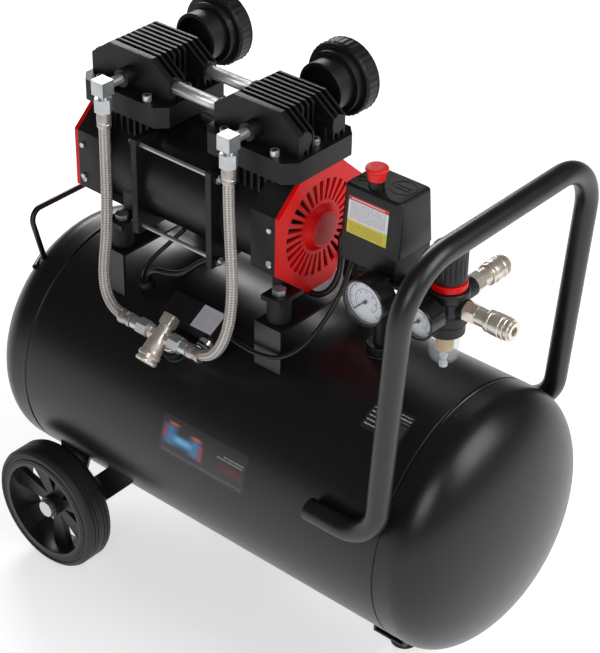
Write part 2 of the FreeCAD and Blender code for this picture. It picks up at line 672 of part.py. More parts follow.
def casting():
    """Right crankcase without feet: flange, barrel, fan housing, cylinder jacket with ribs, deck."""
    motorFace = block("flangeThick", "2 * flangeHalfWide", "2 * flangeHalfTall",
                      rightHead + " - crankInner + flangeThick / 2", 0, crank + " - flangeHalfTall")
    barrel = along("crankRadius", "-crankInner", "crankInner + crankOuter")
    fanBox = octagonal("crankOuter", "fanHousing")
    jacket = block("2 * jacketHalf - 10", "2 * jacketHalf - 10", "deckRise", rightHead, 0, crank)
    ribs = [block("3", "2 * jacketHalf", "deckRise - 36", "%s + %d * 9.5" % (rightHead, k), 0,
                  crank + " + 34")
            for k in range(-3, 4)]
    top = deckPlate("deckThick", deck + " - deckThick")
    return fused(motorFace, barrel, fanBox, jacket, top, *ribs)


def crankVoids():
    """What a crankcase is hollow for: bearing, crank, shaft, fan, sleeve, bolts and tie rods."""
    bearingSeat = along("bearingRadius", "-crankInner - 1", "bearingWide + flangeThick + 2")
    cavity = along("crankCavity", "-crankInner + flangeThick + bearingWide",
                   "crankInner - flangeThick - bearingWide + 14")
    shaftWay = along("shaftRadius + 2", "0", "fanWall + 1")
    fanSpace = octagonal("fanWall", "fanHousing", "coverWall")
    core = block("2 * jacketHalf - 10", "2 * jacketHalf - 10", "deckRise", rightHead, 0, crank)
    ribCore = block("60", "2 * jacketHalf", "deckRise", rightHead, 0, crank + " + 34")
    sideSpace = cut(octagonal("crankOuter + coverWall", "fanWall - crankOuter - 2 * coverWall", "coverWall"),
                    core, ribCore, along("shaftRadius + 6", "0", "fanWall"))
    bore = atHead("sleeveRadius", "deckRise - sleeveTall", "sleeveTall + 1")
    rodWay = atHead("pistonRadius", "0", "deckRise - sleeveTall + 1")
    ties = [rod("tieRadius", "-crankInner - 1", "flangeThick + 2", "X", rightHead, y, z) for y, z in tieSpots]
    bolts = headBolts("boltRadius", "deckRise - deckThick - 4", "deckThick + 5")
    return [bearingSeat, cavity, shaftWay, fanSpace, sideSpace, bore, rodWay] + ties + bolts


rightCase = cut(casting(), *crankVoids())
leftCase = acrossPump(rightCase)
mountHoles = [rod("mountBolt", "bracketRise", "mountHeight + 4 * lugThick", "Z", at, side, axis)
              for at, side in spots]
rightFeet = cut(fused(*lug("bracketRight", "bracketRight - 11", "34")),
                octagonal("crankOuter", "fanHousing", "1"),
                octagonal("crankOuter + fanHousing", "fanHousing"))
leftFeet = cut(fused(*lug("bracketLeft", "bracketLeft", "44")),
               acrossPump(along("crankRadius - 1", "-crankInner", "crankInner + crankOuter")))
cases = [cut(fused(rightCase, rightFeet), *mountHoles), cut(fused(leftCase, leftFeet), *mountHoles)]
node("crankcases", group(*cases))
bearing = cut(along("bearingRadius", "-crankInner + flangeThick", "bearingWide"),
              along("shaftRadius + runningGap / 2", "-crankInner", "2 * bearingWide + flangeThick"))
node("bearings", group(bearing, acrossPump(bearing)))

# ---- motor ----

motorLong = "headSpacing - 2 * crankInner"
housing = cut(rod("motorRadius", "-(%s) / 2" % motorLong, motorLong, "X", "pumpPlace", 0, crank),
              rod("motorRadius - motorWall", "-(%s) / 2 - 1" % motorLong, motorLong + " + 2", "X",
                  "pumpPlace", 0, crank))
node("motor_housing", housing)
core = cut(rod("motorRadius - motorWall", "-coreLength / 2", "coreLength", "X", "pumpPlace", 0, crank),
           rod("rotorRadius + partGap", "-coreLength / 2 - 1", "coreLength + 2", "X", "pumpPlace", 0, crank))
node("stator", core)
shaftHalf = "headSpacing / 2 + fanWall + 2 + fanDeep + 2"
eccentric = rod("eccentricRadius", "-eccentricWide / 2", "eccentricWide", "X", rightHead, 0,
                crank + " - throwLength")
otherEccentric = rod("eccentricRadius", "-eccentricWide / 2", "eccentricWide", "X",
                     "pumpPlace - headSpacing / 2", 0, crank + " + throwLength")
node("rotor",
     fused(rod("shaftRadius", "-(%s)" % shaftHalf, "2 * (%s)" % shaftHalf, "X", "pumpPlace", 0, crank),
           rod("rotorRadius", "-coreLength / 2", "coreLength", "X", "pumpPlace", 0, crank),
           eccentric, otherEccentric))


def fanBlade(k, count):
    """One straight blade, turned about the shaft."""
    blade = doc.addObject("Part::Box", "Blade")
    blade.setExpression("Length", bound("fanDeep"))
    blade.setExpression("Width", bound("sheetThick / 2"))
    blade.setExpression("Height", bound("fanRadius - shaftRadius - 3"))
    turn = Rotation(Vector(1, 0, 0), 360 * k / count)
    lift = turn.multVec(Vector(0, 0, 1))
    place(blade, rightHead + " + fanWall + 3",
          "(shaftRadius + 3) * %.5f" % lift.y, "%s + (shaftRadius + 3) * %.5f" % (crank, lift.z), turn)
    return blade


bladeCount = 9
fanStart = "fanWall + 2"
fanBody = fused(along("shaftRadius + 6", fanStart, "fanDeep + 1"), along("fanRadius", fanStart, "2"),
                *[fanBlade(k, bladeCount) for k in range(bladeCount)])
fan = cut(fanBody, along("shaftRadius", fanStart + " - 1", "fanDeep + 3"))
node("fans", group(fan, acrossPump(fan)))


def slot(k, count):
    """One radial opening of the fan cover, wider at its outer end."""
    opening = doc.addObject("Part::Wedge", "Slot")
    for side, formula in (("Xmin", "-slotInner"), ("Xmax", "slotInner"), ("X2min", "-slotOuter"),
                          ("X2max", "slotOuter"), ("Zmin", "0"), ("Zmax", "6 * coverDeep"), ("Z2min", "0"),
                          ("Z2max", "6 * coverDeep"), ("Ymin", "octHalfWide * 0.46"),
                          ("Ymax", "octHalfWide * 0.82")):
        opening.setExpression(side, bound(formula))
    # the wedge's width lies across the shaft, its length away from it and its depth along it
    lie = Rotation(Vector(1, 0, 0), 360 * k / count) * Rotation(Vector(1, 1, 1), 120)
    return place(opening, rightHead + " + crankOuter", 0, crank, lie)


slotCount = 30
coverStart = "crankOuter + fanHousing"
grille = cut(octagonal(coverStart, "coverDeep - coverWall"),
             octagonal(coverStart + " - 1", "coverDeep - 2 * coverWall + 1", "coverWall"))
dome = cone("octHalfWide * 0.42", "octHalfWide * 0.3", coverStart + " + coverDeep - coverWall - 1",
            "coverDome - 1", "X", rightHead, 0, crank)
cover = cut(fused(grille, dome), *[slot(k, slotCount) for k in range(slotCount)])
node("fan_covers", group(cover, acrossPump(cover)))

# ---- cylinders, pistons, heads ----

sleeve = cut(atHead("sleeveRadius", "deckRise - sleeveTall", "sleeveTall"),
             atHead("pistonRadius + partGap", "deckRise - sleeveTall - 1", "sleeveTall + 2"))
node("cylinder_sleeves", group(sleeve, acrossPump(sleeve)))


def piston(x, crown, pin):
    """Wobble piston and rod in one: crown height and eye centre from the crankshaft."""
    disc = rod("pistonRadius", crown + " - pistonTall", "pistonTall", "Z", x, 0, crank)
    link = block("rodThick", "rodWide",
                 "%s - pistonTall + 1 - (%s) - (eyeInner + eyeOuter) / 2" % (crown, pin),
                 x, 0, "%s + %s + (eyeInner + eyeOuter) / 2" % (crank, pin))
    eye = cut(rod("eyeOuter", "-rodThick / 2", "rodThick", "X", x, 0, "%s + %s" % (crank, pin)),
              rod("eyeInner", "-rodThick", "2 * rodThick", "X", x, 0, "%s + %s" % (crank, pin)))
    return fused(disc, link, eye)


topCrown = "deckRise - crownGap"
node("piston_right", piston(rightHead, topCrown + " - 2 * throwLength", "-throwLength"))
node("piston_left", piston("pumpPlace - headSpacing / 2", topCrown, "throwLength"))

valvePlate = cut(deckPlate("valvePlateThick", deck),
                 *headBolts("boltRadius", "deckRise - 1", "valvePlateThick + 2"),
                 *[atHead("4", "deckRise - 1", "valvePlateThick + 2", x, 0) for x in ("12", "-12")])
node("valve_plates", group(valvePlate, acrossPump(valvePlate)))


def headSection(start, deep):
    """The head's profile: straight sides, sloping shoulders and a flat top, deep along Y."""
    sides = [("-headHalfLong", 0), ("headHalfLong", 0), ("headHalfLong", "headSide"),
             ("headTopHalf", "headSide + headChamfer"), ("-headTopHalf", "headSide + headChamfer"),
             ("-headHalfLong", "headSide")]
    return outline(sides, deep, "XZ_Plane", rightHead, start, headTop, True)


def cylinderHead():
    """Base, front plate, fins with bolt pockets, port bosses, all in one casting."""
    base = deckPlate("baseThick", headBase)
    front = headSection("-headHalfWide", "plateDeep")
    fins = [headSection("-headHalfWide + plateDeep + finPitch * %d - finThick" % k, "finThick")
            for k in range(1, int(number["finCount"]) + 1)]
    spine = block("2 * spineHalf", "2 * headHalfWide - 4", "spineTall", rightHead, 0, headTop)
    ports = [rod("tubeRadius + 3", "-headHalfLong", "2 * headHalfLong", "X", rightHead, side, outletZ)
             for side in ("tubeWide", "-tubeWide")]
    outlet = rod("tubeRadius + 3", "-headHalfWide - outletBoss", "outletBoss + 1", "Y", rightHead, 0, outletZ)
    pockets = [block("24", "26", "60", "%s + %s" % (rightHead, side), 0, headTop)
               for side in ("sideBoltLong", "-sideBoltLong")]
    chamber = block("70", "60", "8", rightHead, 0, headBase + " - 0.01")
    passage = rod("fittingRadius - 2", "-headHalfWide - outletBoss - 1", "60", "Y", rightHead, 0, outletZ)
    body = fused(base, front, spine, outlet, *(fins + ports))
    return cut(body, chamber, passage, *(pockets + headBolts("boltRadius", "deckRise", "60")))


head = cylinderHead()
node("cylinder_heads", group(head, acrossPump(head)))
boltTop = "deckRise + valvePlateThick + baseThick"
bolts = [fused(shank, cap) for shank, cap in zip(
    headBolts("boltRadius", "deckRise - deckThick - 4", "valvePlateThick + baseThick + deckThick + 4"),
    headBolts("boltHead", boltTop, "boltHeadTall"))]
coverScrews = [rod("3", "octHalfWide", "2.5", "Y", rightHead + " + crankOuter + fanHousing - 7", 0,
                   crank + rise)
               for rise in (" + 20", " - 18")]
screws = bolts + coverScrews + [acrossMiddle(screw) for screw in coverScrews]
node("pump_screws", group(*(screws + [acrossPump(screw) for screw in screws])))

ties = []
for y, z in tieSpots:
    reach = "(headSpacing / 2 - crankInner + flangeThick)"
    ties.append(fused(rod("tieRadius", "-%s - nutTall - 3" % reach, "2 * (%s + nutTall + 3)" % reach, "X",
                          "pumpPlace", y, z),
                      hexagon("nutRadius", reach, "nutTall", "X", "pumpPlace", y, z),
                      hexagon("nutRadius", "-%s - nutTall" % reach, "nutTall", "X", "pumpPlace", y, z)))
node("tie_rods", group(*ties))
crossLong = "headSpacing - 2 * headHalfLong"
crossovers = [rod("tubeRadius", "-(%s) / 2" % crossLong, crossLong, "X", "pumpPlace", side, outletZ)
              for side in ("tubeWide", "-tubeWide")]
node("crossover_tubes", group(*crossovers))

# ---- intake filters ----

filterZ = headTop + " + filterRise"


def filterPart(radius, start, length):
    """A cylinder on the filter axis, start counted from its open end."""
    return rod(radius, "filterStart + (%s)" % start, length, "Y", rightHead, 0, filterZ)


filterShell = cut(fused(filterPart("filterNeck", 0, 26), filterPart("filterStep", 20, 12),
                        filterPart("filterCap", 28, 20), filterPart("filterCap - 5", 48, 3),
                        block("18", "filterStart + 20 - baseHalfWide", "12", rightHead,
                              "(filterStart + 20 + baseHalfWide) / 2", headBase + " + 1")),
                  filterPart("filterNeck - 4", -1, 17), filterPart("filterCap - 8", 30, 15))
node("filter_housings", group(filterShell, acrossPump(filterShell)))
foam = filterPart("filterCap - 8", 30, 15)
sinter = rod("bowlRadius - 7", "regulatorLow - 22", "22", "Z", "regulatorPlace", 0, axis)
node("filter_elements", group(foam, acrossPump(foam)))
node("bowl_element", sinter)

# ---- outlet fittings, hoses, check valve ----


def elbow():
    """Stub, block, downward stub, nut and ferrule at the front of the right head."""
    y = "-elbowDrop"
    stub = rod("fittingRadius", "-elbowDrop", "elbowDrop - headHalfWide - outletBoss", "Y", rightHead, 0,
               outletZ)
    corner = block("2 * elbowHalf", "2 * elbowHalf", "2 * elbowHalf", rightHead, y, outletZ + " - elbowHalf")
    down = rod("fittingRadius", "-elbowHalf - 5", "elbowHalf + 5", "Z", rightHead, y, outletZ)
    nut = hexagon("hoseNut", "-elbowHalf - 4 - hoseNutTall", "hoseNutTall", "Z", rightHead, y, outletZ)
    ferrule = rod("ferruleRadius", "-elbowHalf - 4 - hoseNutTall - 18", "18", "Z", rightHead, y, outletZ)
    return fused(stub, corner, down, nut, ferrule)


def onTilt(piece, tilt):
    """A piece modelled on top of the tank, turned round the tank axis."""
    return tilted(group(piece), tilt)


rightElbow = elbow()
lowNuts = []
for side in (1, -1):
    start = "valveRadius + 5"
    nut = hexagon("hoseNut", start, "hoseNutTall - 2", "X", "valvePlace", 0, "valveRise")
    ferrule = rod("ferruleRadius", start + " + hoseNutTall - 2", "10", "X", "valvePlace", 0, "valveRise")
    pair = fused(nut, ferrule)
    if side < 0:
        pair = mirrored(pair, Vector(1, 0, 0), "valvePlace")
    lowNuts.append(onTilt(pair, "valveTilt"))
node("hose_fittings", group(rightElbow, acrossPump(rightElbow), *lowNuts))

valveBody = fused(rod("valveRadius", "-20", "40", "Y", "valvePlace", 0, "valveRise"),
                  hexagon("valveRadius + 2", "-33", "14", "Y", "valvePlace", 0, "valveRise"),
                  block("15", "4", "15", "valvePlace", "20", "valveRise - 7.5"),
                  rod("fittingRadius + 2", "-valveRadius - 5", "2 * valveRadius + 10", "X", "valvePlace", 0,
                      "valveRise"),
                  rod("valveRadius - 1", "tankRadius + bossRise", "valveRise - tankRadius - bossRise", "Z",
                      "valvePlace"),
                  rod("pipeRadius", "tankRadius - 2 * tankWall", "tankWall * 2 + bossRise + 2", "Z",
                      "valvePlace"))
node("check_valve", onTilt(valveBody, "valveTilt"))

plugBlock = block("40", "2 * coilHalf", "coilTall", "valvePlace + 1", 0, "coilLow")
coilBlock = fused(block("33", "2 * coilHalf", "coilTall", "valvePlace + 37.5", 0, "coilLow"),
                  rod("8", "-coilHalf - 14", "15", "Y", "valvePlace + 45", 0, "coilLow + coilTall / 2"),
                  rod("6", "tankRadius", "coilLow - tankRadius + 1", "Z", "valvePlace + 37.5"))
node("unloader_valve", group(onTilt(plugBlock, "coilTilt"), onTilt(coilBlock, "coilTilt")))

leftPlace = number["pumpPlace"] - number["headSpacing"] / 2
rightPlace = number["pumpPlace"] + number["headSpacing"] / 2
hoseTop = (n["pumpRise"] + n["deckRise"] + n["valvePlateThick"] + n["baseThick"] + n["portRise"]
           - n["elbowHalf"] - 4 - n["hoseNutTall"] - 18)
tiltAngle = math.radians(n["valveTilt"])
endY = -n["valveRise"] * math.sin(tiltAngle)
endZ = n["valveRise"] * math.cos(tiltAngle)
endReach = n["valveRadius"] + 5 + n["hoseNutTall"] - 2 + 10
leftEnd = n["valvePlace"] - endReach
rightLast = n["valvePlace"] + endReach
drop = -n["elbowDrop"]
leftHose = [(leftPlace, drop, hoseTop), (leftPlace, drop, hoseTop - 30), (-174, -86, 252), (-163, -99, 213),
            (-158, -111, 176), (-147, -119, 153), (leftEnd - 24, endY, endZ), (leftEnd, endY, endZ)]
rightHose = [(rightPlace, drop, hoseTop), (rightPlace, drop, hoseTop - 28), (6, -87, 255), (20, -100, 215),
             (25, -112, 180), (17, -120, 153), (rightLast + 20, endY, endZ), (rightLast, endY, endZ)]
node("hose_left", cord(leftHose, n["hoseRadius"], "hose_left"))
node("hose_right", cord(rightHose, n["hoseRadius"], "hose_right"))

# ---- manifold, pressure switch, gauges ----

manifoldZ = "axisHeight + manifoldRise"
gaugeBack = "gaugeDeep - tankGaugeFront"
manifold = fused(rod("pipeRadius", "tankRadius - 2 * tankWall", "manifoldRise - tankRadius + 2 * tankWall",
                     "Z", "manifoldPlace", 0, axis),
                 rod("manifoldRadius", "-26", "52", "X", "manifoldPlace", 0, manifoldZ),
                 rod("pipeRadius", "0", "regulatorPlace - manifoldPlace - regulatorRadius", "X",
                     "manifoldPlace", 0, manifoldZ),
                 rod("pipeRadius + 2", "0", "switchLow - manifoldRise", "Z", "manifoldPlace", 0, manifoldZ),
                 rod("fittingRadius", gaugeBack, "-(%s)" % gaugeBack, "Y", "tankGaugePlace", 0, manifoldZ),
                 rod("pipeRadius", "0", "manifoldRadius + 8", "Y", "tankGaugePlace", 0, manifoldZ))
node("manifold", manifold)
switchZ = "axisHeight + switchLow"
switchBase = cut(block("2 * switchHalfLong - 4", "2 * switchHalfWide - 4", "switchBaseTall", "manifoldPlace",
                       0, switchZ),
                 block("2 * switchHalfLong - 12", "2 * switchHalfWide - 12", "switchBaseTall",
                       "manifoldPlace", 0, switchZ + " + 5"))
gland = rod("8", "-switchHalfLong - 12", "16", "X", "manifoldPlace", "10", switchZ + " + 12")
rearGland = rod("8", "switchHalfWide - 4", "16", "Y", "manifoldPlace - 14", 0, switchZ + " + 12")
node("switch_base", fused(switchBase, gland, rearGland))


def tapered(smaller, tall):
    """The switch cover's tapered block, smaller all round by a wall."""
    piece = doc.addObject("Part::Wedge", "Tapered")
    longWay = "(switchHalfLong - %s)" % smaller
    wideWay = "(switchHalfWide - %s)" % smaller
    topLong = "(coverTopLong - %s)" % smaller
    topWide = "(coverTopWide - %s)" % smaller
    for side, formula in (("Xmin", "-" + longWay), ("Xmax", longWay), ("X2min", "-" + topLong),
                          ("X2max", topLong), ("Zmin", "-" + wideWay), ("Zmax", wideWay),
                          ("Z2min", "-" + topWide), ("Z2max", topWide), ("Ymin", "0"), ("Ymax", tall)):
        piece.setExpression(side, bound(formula))
    return place(piece, "manifoldPlace", 0, switchZ + " + switchBaseTall", Rotation(Vector(1, 0, 0), 90))


knobX = "manifoldPlace + knobPlace"
coverTop = switchZ + " + switchBaseTall + coverTall"
knobGuide = rod("knobBoss", "0", "knobBoss", "Z", knobX, "knobFront", coverTop)
knobBore = rod("knobBoss - 2.5", "-6", "knobBoss + 7", "Z", knobX, "knobFront", coverTop)
node("switch_cover",
     cut(fused(cut(tapered("0", "coverTall"), tapered("sheetThick", "coverTall - sheetThick")), knobGuide),
         knobBore))
capLow = "knobBoss + partGap"
knobCap = cut(cone("knobRadius - 1.5", "knobRadius", capLow, "knobTall", "Z", knobX, "knobFront", coverTop),
              rod("knobBoss + partGap", "0", "%s + knobTravel + partGap" % capLow, "Z", knobX, "knobFront",
                  coverTop))
stem = rod("knobBoss - 2.5 - runningGap", "-14", "14 + knobBoss + knobTravel + 2", "Z", knobX, "knobFront",
           coverTop)
node("switch_knob", fused(knobCap, stem))


def hand(x, y, long):
    """A needle's hand at zero: it points down and to the left as the dial is read."""
    piece = doc.addObject("Part::Box", "Hand")
    piece.setExpression("Length", bound("1.2"))
    piece.setExpression("Width", bound("0.8"))
    piece.setExpression("Height", bound(long))
    return place(piece, x, y, manifoldZ, Rotation(Vector(0, 1, 0), -135))


def gauge(x, radius, face):
    """Case, dial, needle and lens of one gauge that looks to the front."""
    def disc(size, start, length):
        return rod(size, "-(%s) + (%s)" % (face, start), length, "Y", x, 0, manifoldZ)
    case = cut(fused(disc(radius, 0, "gaugeDeep - 3"), disc("%s - 4" % radius, "gaugeDeep - 4", "4")),
               disc("%s - 2.5" % radius, -1, 8))
    dial = cut(disc("%s - 2.5" % radius, 6, 1), disc("1 + runningGap", 5, 3))
    glass = disc("%s - 2.5" % radius, 0.6, 1.6)
    pointer = fused(disc("2", 3, 2), disc("1", 3, 3.7), hand(x, "-(%s) + 4" % face, "%s - 7" % radius))
    return case, dial, glass, pointer


tankGauge = gauge("tankGaugePlace", "tankGaugeRadius", "tankGaugeFront")
outletGauge = gauge("regulatorPlace", "outletGaugeRadius", "outletGaugeFront")
node("gauge_cases", group(tankGauge[0], outletGauge[0]))
node("gauge_dials", group(tankGauge[1], outletGauge[1]))
node("gauge_lenses", group(tankGauge[2], outletGauge[2]))
node("needle_tank", tankGauge[3])
node("needle_outlet", outletGauge[3])

# ---- safety valve ----

safetyStart = "manifoldRadius + 8"
node("safety_valve", cut(fused(hexagon("10", safetyStart, "8", "Y", "tankGaugePlace", 0, manifoldZ),
                               rod("7.5", safetyStart + " + 8", "22", "Y", "tankGaugePlace", 0, manifoldZ)),
                         rod("3 + runningGap", safetyStart + " + 10", "30", "Y", "tankGaugePlace", 0,
                             manifoldZ)))
ringY = safetyStart + " + 8 + 22 + 9"
ring = doc.addObject("Part::Torus", "PullRing")
ring.Radius1 = 8
ring.Radius2 = 1.2
place(ring, "tankGaugePlace", ringY, manifoldZ, Rotation(Vector(0, 1, 0), 90))
node("safety_ring", fused(rod("3", safetyStart + " + 14", "17.5", "Y", "tankGaugePlace", 0, manifoldZ), ring))

# ---- regulator, bowl, couplers ----

bodyZ = "axisHeight + regulatorLow"
arm = rod("10", "-outletGaugeFront + gaugeDeep", "outletGaugeFront - gaugeDeep", "Y", "regulatorPlace", 0,
          manifoldZ)
sideBoss = rod("11", "0", "regulatorRadius + 4 + backBoss", "Y", "regulatorPlace", 0, manifoldZ)
endBoss = rod("11", "0", "regulatorRadius + 4", "X", "regulatorPlace", 0, manifoldZ)
regulator = fused(rod("regulatorRadius", "0", "regulatorTall", "Z", "regulatorPlace", 0, bodyZ), arm,
                  sideBoss, endBoss)
postHole = rod("6", "regulatorTall - 8", "20", "Z", "regulatorPlace", 0, bodyZ)
node("regulator_body", cut(regulator, postHole))
ringZ = bodyZ + " + regulatorTall"
node("regulator_ring", cut(rod("ringRadius", "0", "ringTall", "Z", "regulatorPlace", 0, ringZ),
                           rod("ringRadius - 6", "-1", "ringTall + 2", "Z", "regulatorPlace", 0, ringZ)))
grip = cut(rod("dialKnobRadius", "0", "dialKnobTall", "Z", "regulatorPlace", 0,
               ringZ + " + ringTall + partGap"),
           rod("dialKnobRadius - 5", "dialKnobTall - 4", "5", "Z", "regulatorPlace", 0,
               ringZ + " + ringTall + partGap"))
spindle = rod("6 - runningGap", "-7", "ringTall + 9", "Z", "regulatorPlace", 0, ringZ)
node("regulator_knob", fused(grip, spindle))
bowl = cut(rod("bowlRadius", "-bowlTall", "bowlTall", "Z", "regulatorPlace", 0, bodyZ),
           rod("bowlRadius - bowlWall", "-bowlTall + 3", "bowlTall", "Z", "regulatorPlace", 0, bodyZ),
           rod("3 + runningGap", "-bowlTall - 1", "8", "Z", "regulatorPlace", 0, bodyZ))
node("filter_bowl", bowl)
node("bowl_drain", fused(rod("3", "-bowlTall - 5", "9", "Z", "regulatorPlace", 0, bodyZ),
                         rod("4.5", "-bowlTall - 8", "4", "Z", "regulatorPlace", 0, bodyZ),
                         rod("4.5", "-bowlTall + 3 + partGap", "2", "Z", "regulatorPlace", 0, bodyZ)))


def coupler(way, start):
    """Quick coupler body and its sliding sleeve, along X or Y from a start at the regulator."""
    def piece(shape, radius, low, length):
        return shape(radius, "%s + (%s)" % (start, low), length, way, "regulatorPlace", 0, manifoldZ)

    socket = piece(rod, "couplerSocket", "couplerLong - socketDeep", "socketDeep + 1")
    body = cut(fused(piece(hexagon, "couplerRadius + 1.5", 0, 14),
                     piece(rod, "couplerRadius", 13, "couplerLong - 13"),
                     piece(rod, "couplerRadius + 2", "couplerLong - 6", "3")), socket)
    sleeve = cut(piece(rod, "sleeveOut", "couplerLong - 7 - sleeveLong", "sleeveLong"),
                 piece(rod, "couplerRadius + runningGap", 0, "couplerLong"))
    return body, sleeve


backCoupler = coupler("Y", "regulatorRadius + 4 + backBoss")
endCoupler = coupler("X", "regulatorRadius + 4")
node("couplers", group(backCoupler[0], endCoupler[0]))
node("sleeve_back", backCoupler[1])
node("sleeve_end", endCoupler[1])

# ---- tank drain ----

drainZ = "axisHeight - tankRadius - bossRise"
node("drain_valve", cut(fused(rod("pipeRadius", "0", "bossRise + tankWall", "Z", "drainPlace", 0, drainZ),
                              hexagon("pipeRadius + 3", "-10", "10", "Z", "drainPlace", 0, drainZ)),
                        rod("3 + runningGap", "-11", "9", "Z", "drainPlace", 0, drainZ)))
node("drain_knob", fused(rod("3", "-14", "11", "Z", "drainPlace", 0, drainZ),
                         rod("9", "-20", "6", "Z", "drainPlace", 0, drainZ)))

# ---- leads ----

def onLeadTilt(x, rise):
    """A point above the tank at the grommet's tilt."""
    tilt = math.radians(n["leadTilt"])
    return (x, -rise * math.sin(tilt), rise * math.cos(tilt))


thickLead = [onLeadTilt(-141.5, 152), onLeadTilt(-140.5, 166), (-124, -67, 170), (-102, -67, 174),
             (-80, -66, 183), (-64, -60, 201), (-45, -55, 214)]
thinLead = [onLeadTilt(-149.5, 152), onLeadTilt(-149, 166), (-141, -52, 172), (-127, -42, 190),
            (-112, -32, 210)]
powerLead = [(34, -12, 197), (46, -12, 187.2), (64, -8, 190), (76, -2, 206), (78, 4, 228), (72, 9, 250),
             (74, 10, 266), (88, 10, 274)]
airLead = [(-7.5, -85, 150), (14, -87, 147), (44, -88, 146), (74, -84, 152), (94, -68, 172), (104, -46, 202),
           (108, -26, 232), (110, -18, 262)]
leads = [cord(thickLead, n["leadRadius"], "thick_lead"), cord(thinLead, n["thinLeadRadius"], "thin_lead"),
         cord(powerLead, n["leadRadius"], "power_lead"), cord(airLead, n["thinLeadRadius"], "unloader_tube")]
grommet = tilted(group(rod("9", "tankRadius - 1", "9", "Z", "grommetPlace")), "leadTilt")
node("motor_leads", group(cut(grommet, tank, *leads[:2]), *leads))

# ---- check and export ----

doc.recompute()
for piece in doc.Objects:
    if "Invalid" in piece.State or "Error" in piece.State:
        raise SystemExit("%s %s failed: %s" % (piece.Name, piece.Label, piece.State))
for piece in nodes:
    if piece.Shape.isNull() or not piece.Shape.isValid():
        raise SystemExit("%s has no valid shape" % piece.Label)
os.makedirs("parts", exist_ok=True)
for piece in nodes:
    piece.Shape.exportStep("parts/%s.step" % piece.Label)
print(len(nodes), "nodes")
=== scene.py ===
import bpy
import bmesh
import json
import numpy as np
from math import sin, cos, pi, radians
from mathutils import Matrix, Vector


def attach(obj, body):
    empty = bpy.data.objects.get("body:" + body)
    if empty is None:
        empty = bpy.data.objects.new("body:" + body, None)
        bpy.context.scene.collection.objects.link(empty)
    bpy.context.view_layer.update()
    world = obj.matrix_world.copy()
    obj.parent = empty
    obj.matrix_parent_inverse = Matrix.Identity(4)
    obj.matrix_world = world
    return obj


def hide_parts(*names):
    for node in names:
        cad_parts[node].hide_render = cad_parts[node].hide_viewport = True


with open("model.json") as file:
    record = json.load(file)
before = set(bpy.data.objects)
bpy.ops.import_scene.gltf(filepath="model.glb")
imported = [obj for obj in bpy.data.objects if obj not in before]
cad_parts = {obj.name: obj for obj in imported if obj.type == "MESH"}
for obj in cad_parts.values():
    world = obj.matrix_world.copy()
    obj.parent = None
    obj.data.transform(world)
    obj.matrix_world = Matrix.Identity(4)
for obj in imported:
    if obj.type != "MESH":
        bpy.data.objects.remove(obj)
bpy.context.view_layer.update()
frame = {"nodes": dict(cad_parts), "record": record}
scene = bpy.context.scene
record = frame["record"]
bodyOfNode = {node: body for body, nodes in record["behaviour"]["bodies"].items() for node in nodes}
mm = 0.001
print("frame loaded")

cameraView = {
    "place": (1.13539, -1.32807, 1.51052),   # metres
    "azimuth": 39.845,
    "elevation": 33.765,
    "roll": 1.216,
    "lens": 106.44,                          # mm, for a 36 mm sensor on the long side
}


def linked(name, data):
    # an object of the data, in the scene
    made = bpy.data.objects.new(name, data)
    scene.collection.objects.link(made)
    return made


def addCamera(view):
    # the camera's axes from azimuth and elevation, then turned about the line of sight by the roll
    a, e, r = (radians(view[k]) for k in ("azimuth", "elevation", "roll"))
    back = Vector((sin(a) * cos(e), -cos(a) * cos(e), sin(e)))
    right = Vector((cos(a), sin(a), 0))
    up = back.cross(right)
    turnedRight = right * cos(r) + up * sin(r)
    turnedUp = up * cos(r) - right * sin(r)
    data = bpy.data.cameras.new("camera")
    data.lens = view["lens"]
    data.sensor_width = 36
    data.clip_end = 20
    camera = linked("camera", data)
    axes = Matrix((turnedRight, turnedUp, back)).transposed().to_4x4()
    camera.matrix_world = Matrix.Translation(view["place"]) @ axes
    scene.camera = camera


addCamera(cameraView)
print("camera set")


def addNode(tree, kind, **values):
    node = tree.nodes.new("ShaderNode" + kind)
    for key, value in values.items():
        if hasattr(node, key):
            setattr(node, key, value)
        else:
            node.inputs[key.replace("_", " ")].default_value = value
    return node


def coordinates(tree, space):
    # object coordinates in metres, or the piece's own UV map
    return addNode(tree, "TexCoord").outputs["UV" if space == "UV" else "Object"]


def spread(tree, value, low, high):
    # a 0..1 value taken to low..high
    node = addNode(tree, "MapRange")
    tree.links.new(value, node.inputs["Value"])
    node.inputs["To Min"].default_value = low
    node.inputs["To Max"].default_value = high
    return node.outputs["Result"]


def mixColours(tree, factor, first, second):
    # first where factor is 0, second where it is 1; either may be a colour or a socket
    node = addNode(tree, "Mix", data_type="RGBA")
    tree.links.new(factor, node.inputs["Factor"])
    for socket, value in ((6, first), (7, second)):
        if isinstance(value, bpy.types.NodeSocket):
            tree.links.new(value, node.inputs[socket])
        else:
            node.inputs[socket].default_value = (*value, 1)
    return node.outputs[2]


def noise(tree, where, scale, detail=4, roughness=0.5):
    node = addNode(tree, "TexNoise", Scale=scale, Detail=detail, Roughness=roughness)
    tree.links.new(where, node.inputs["Vector"])
    return node.outputs["Fac"]


def calculate(tree, operation, first, second=None):
    node = addNode(tree, "Math", operation=operation)
    for socket, value in enumerate((first, second)):
        if isinstance(value, bpy.types.NodeSocket):
            tree.links.new(value, node.inputs[socket])
        elif value is not None:
            node.inputs[socket].default_value = value
    return node.outputs[0]


def separated(tree, where):
    # the X, Y and Z outputs of a vector
    parts = addNode(tree, "SeparateXYZ")
    tree.links.new(where, parts.inputs[0])
    return parts.outputs


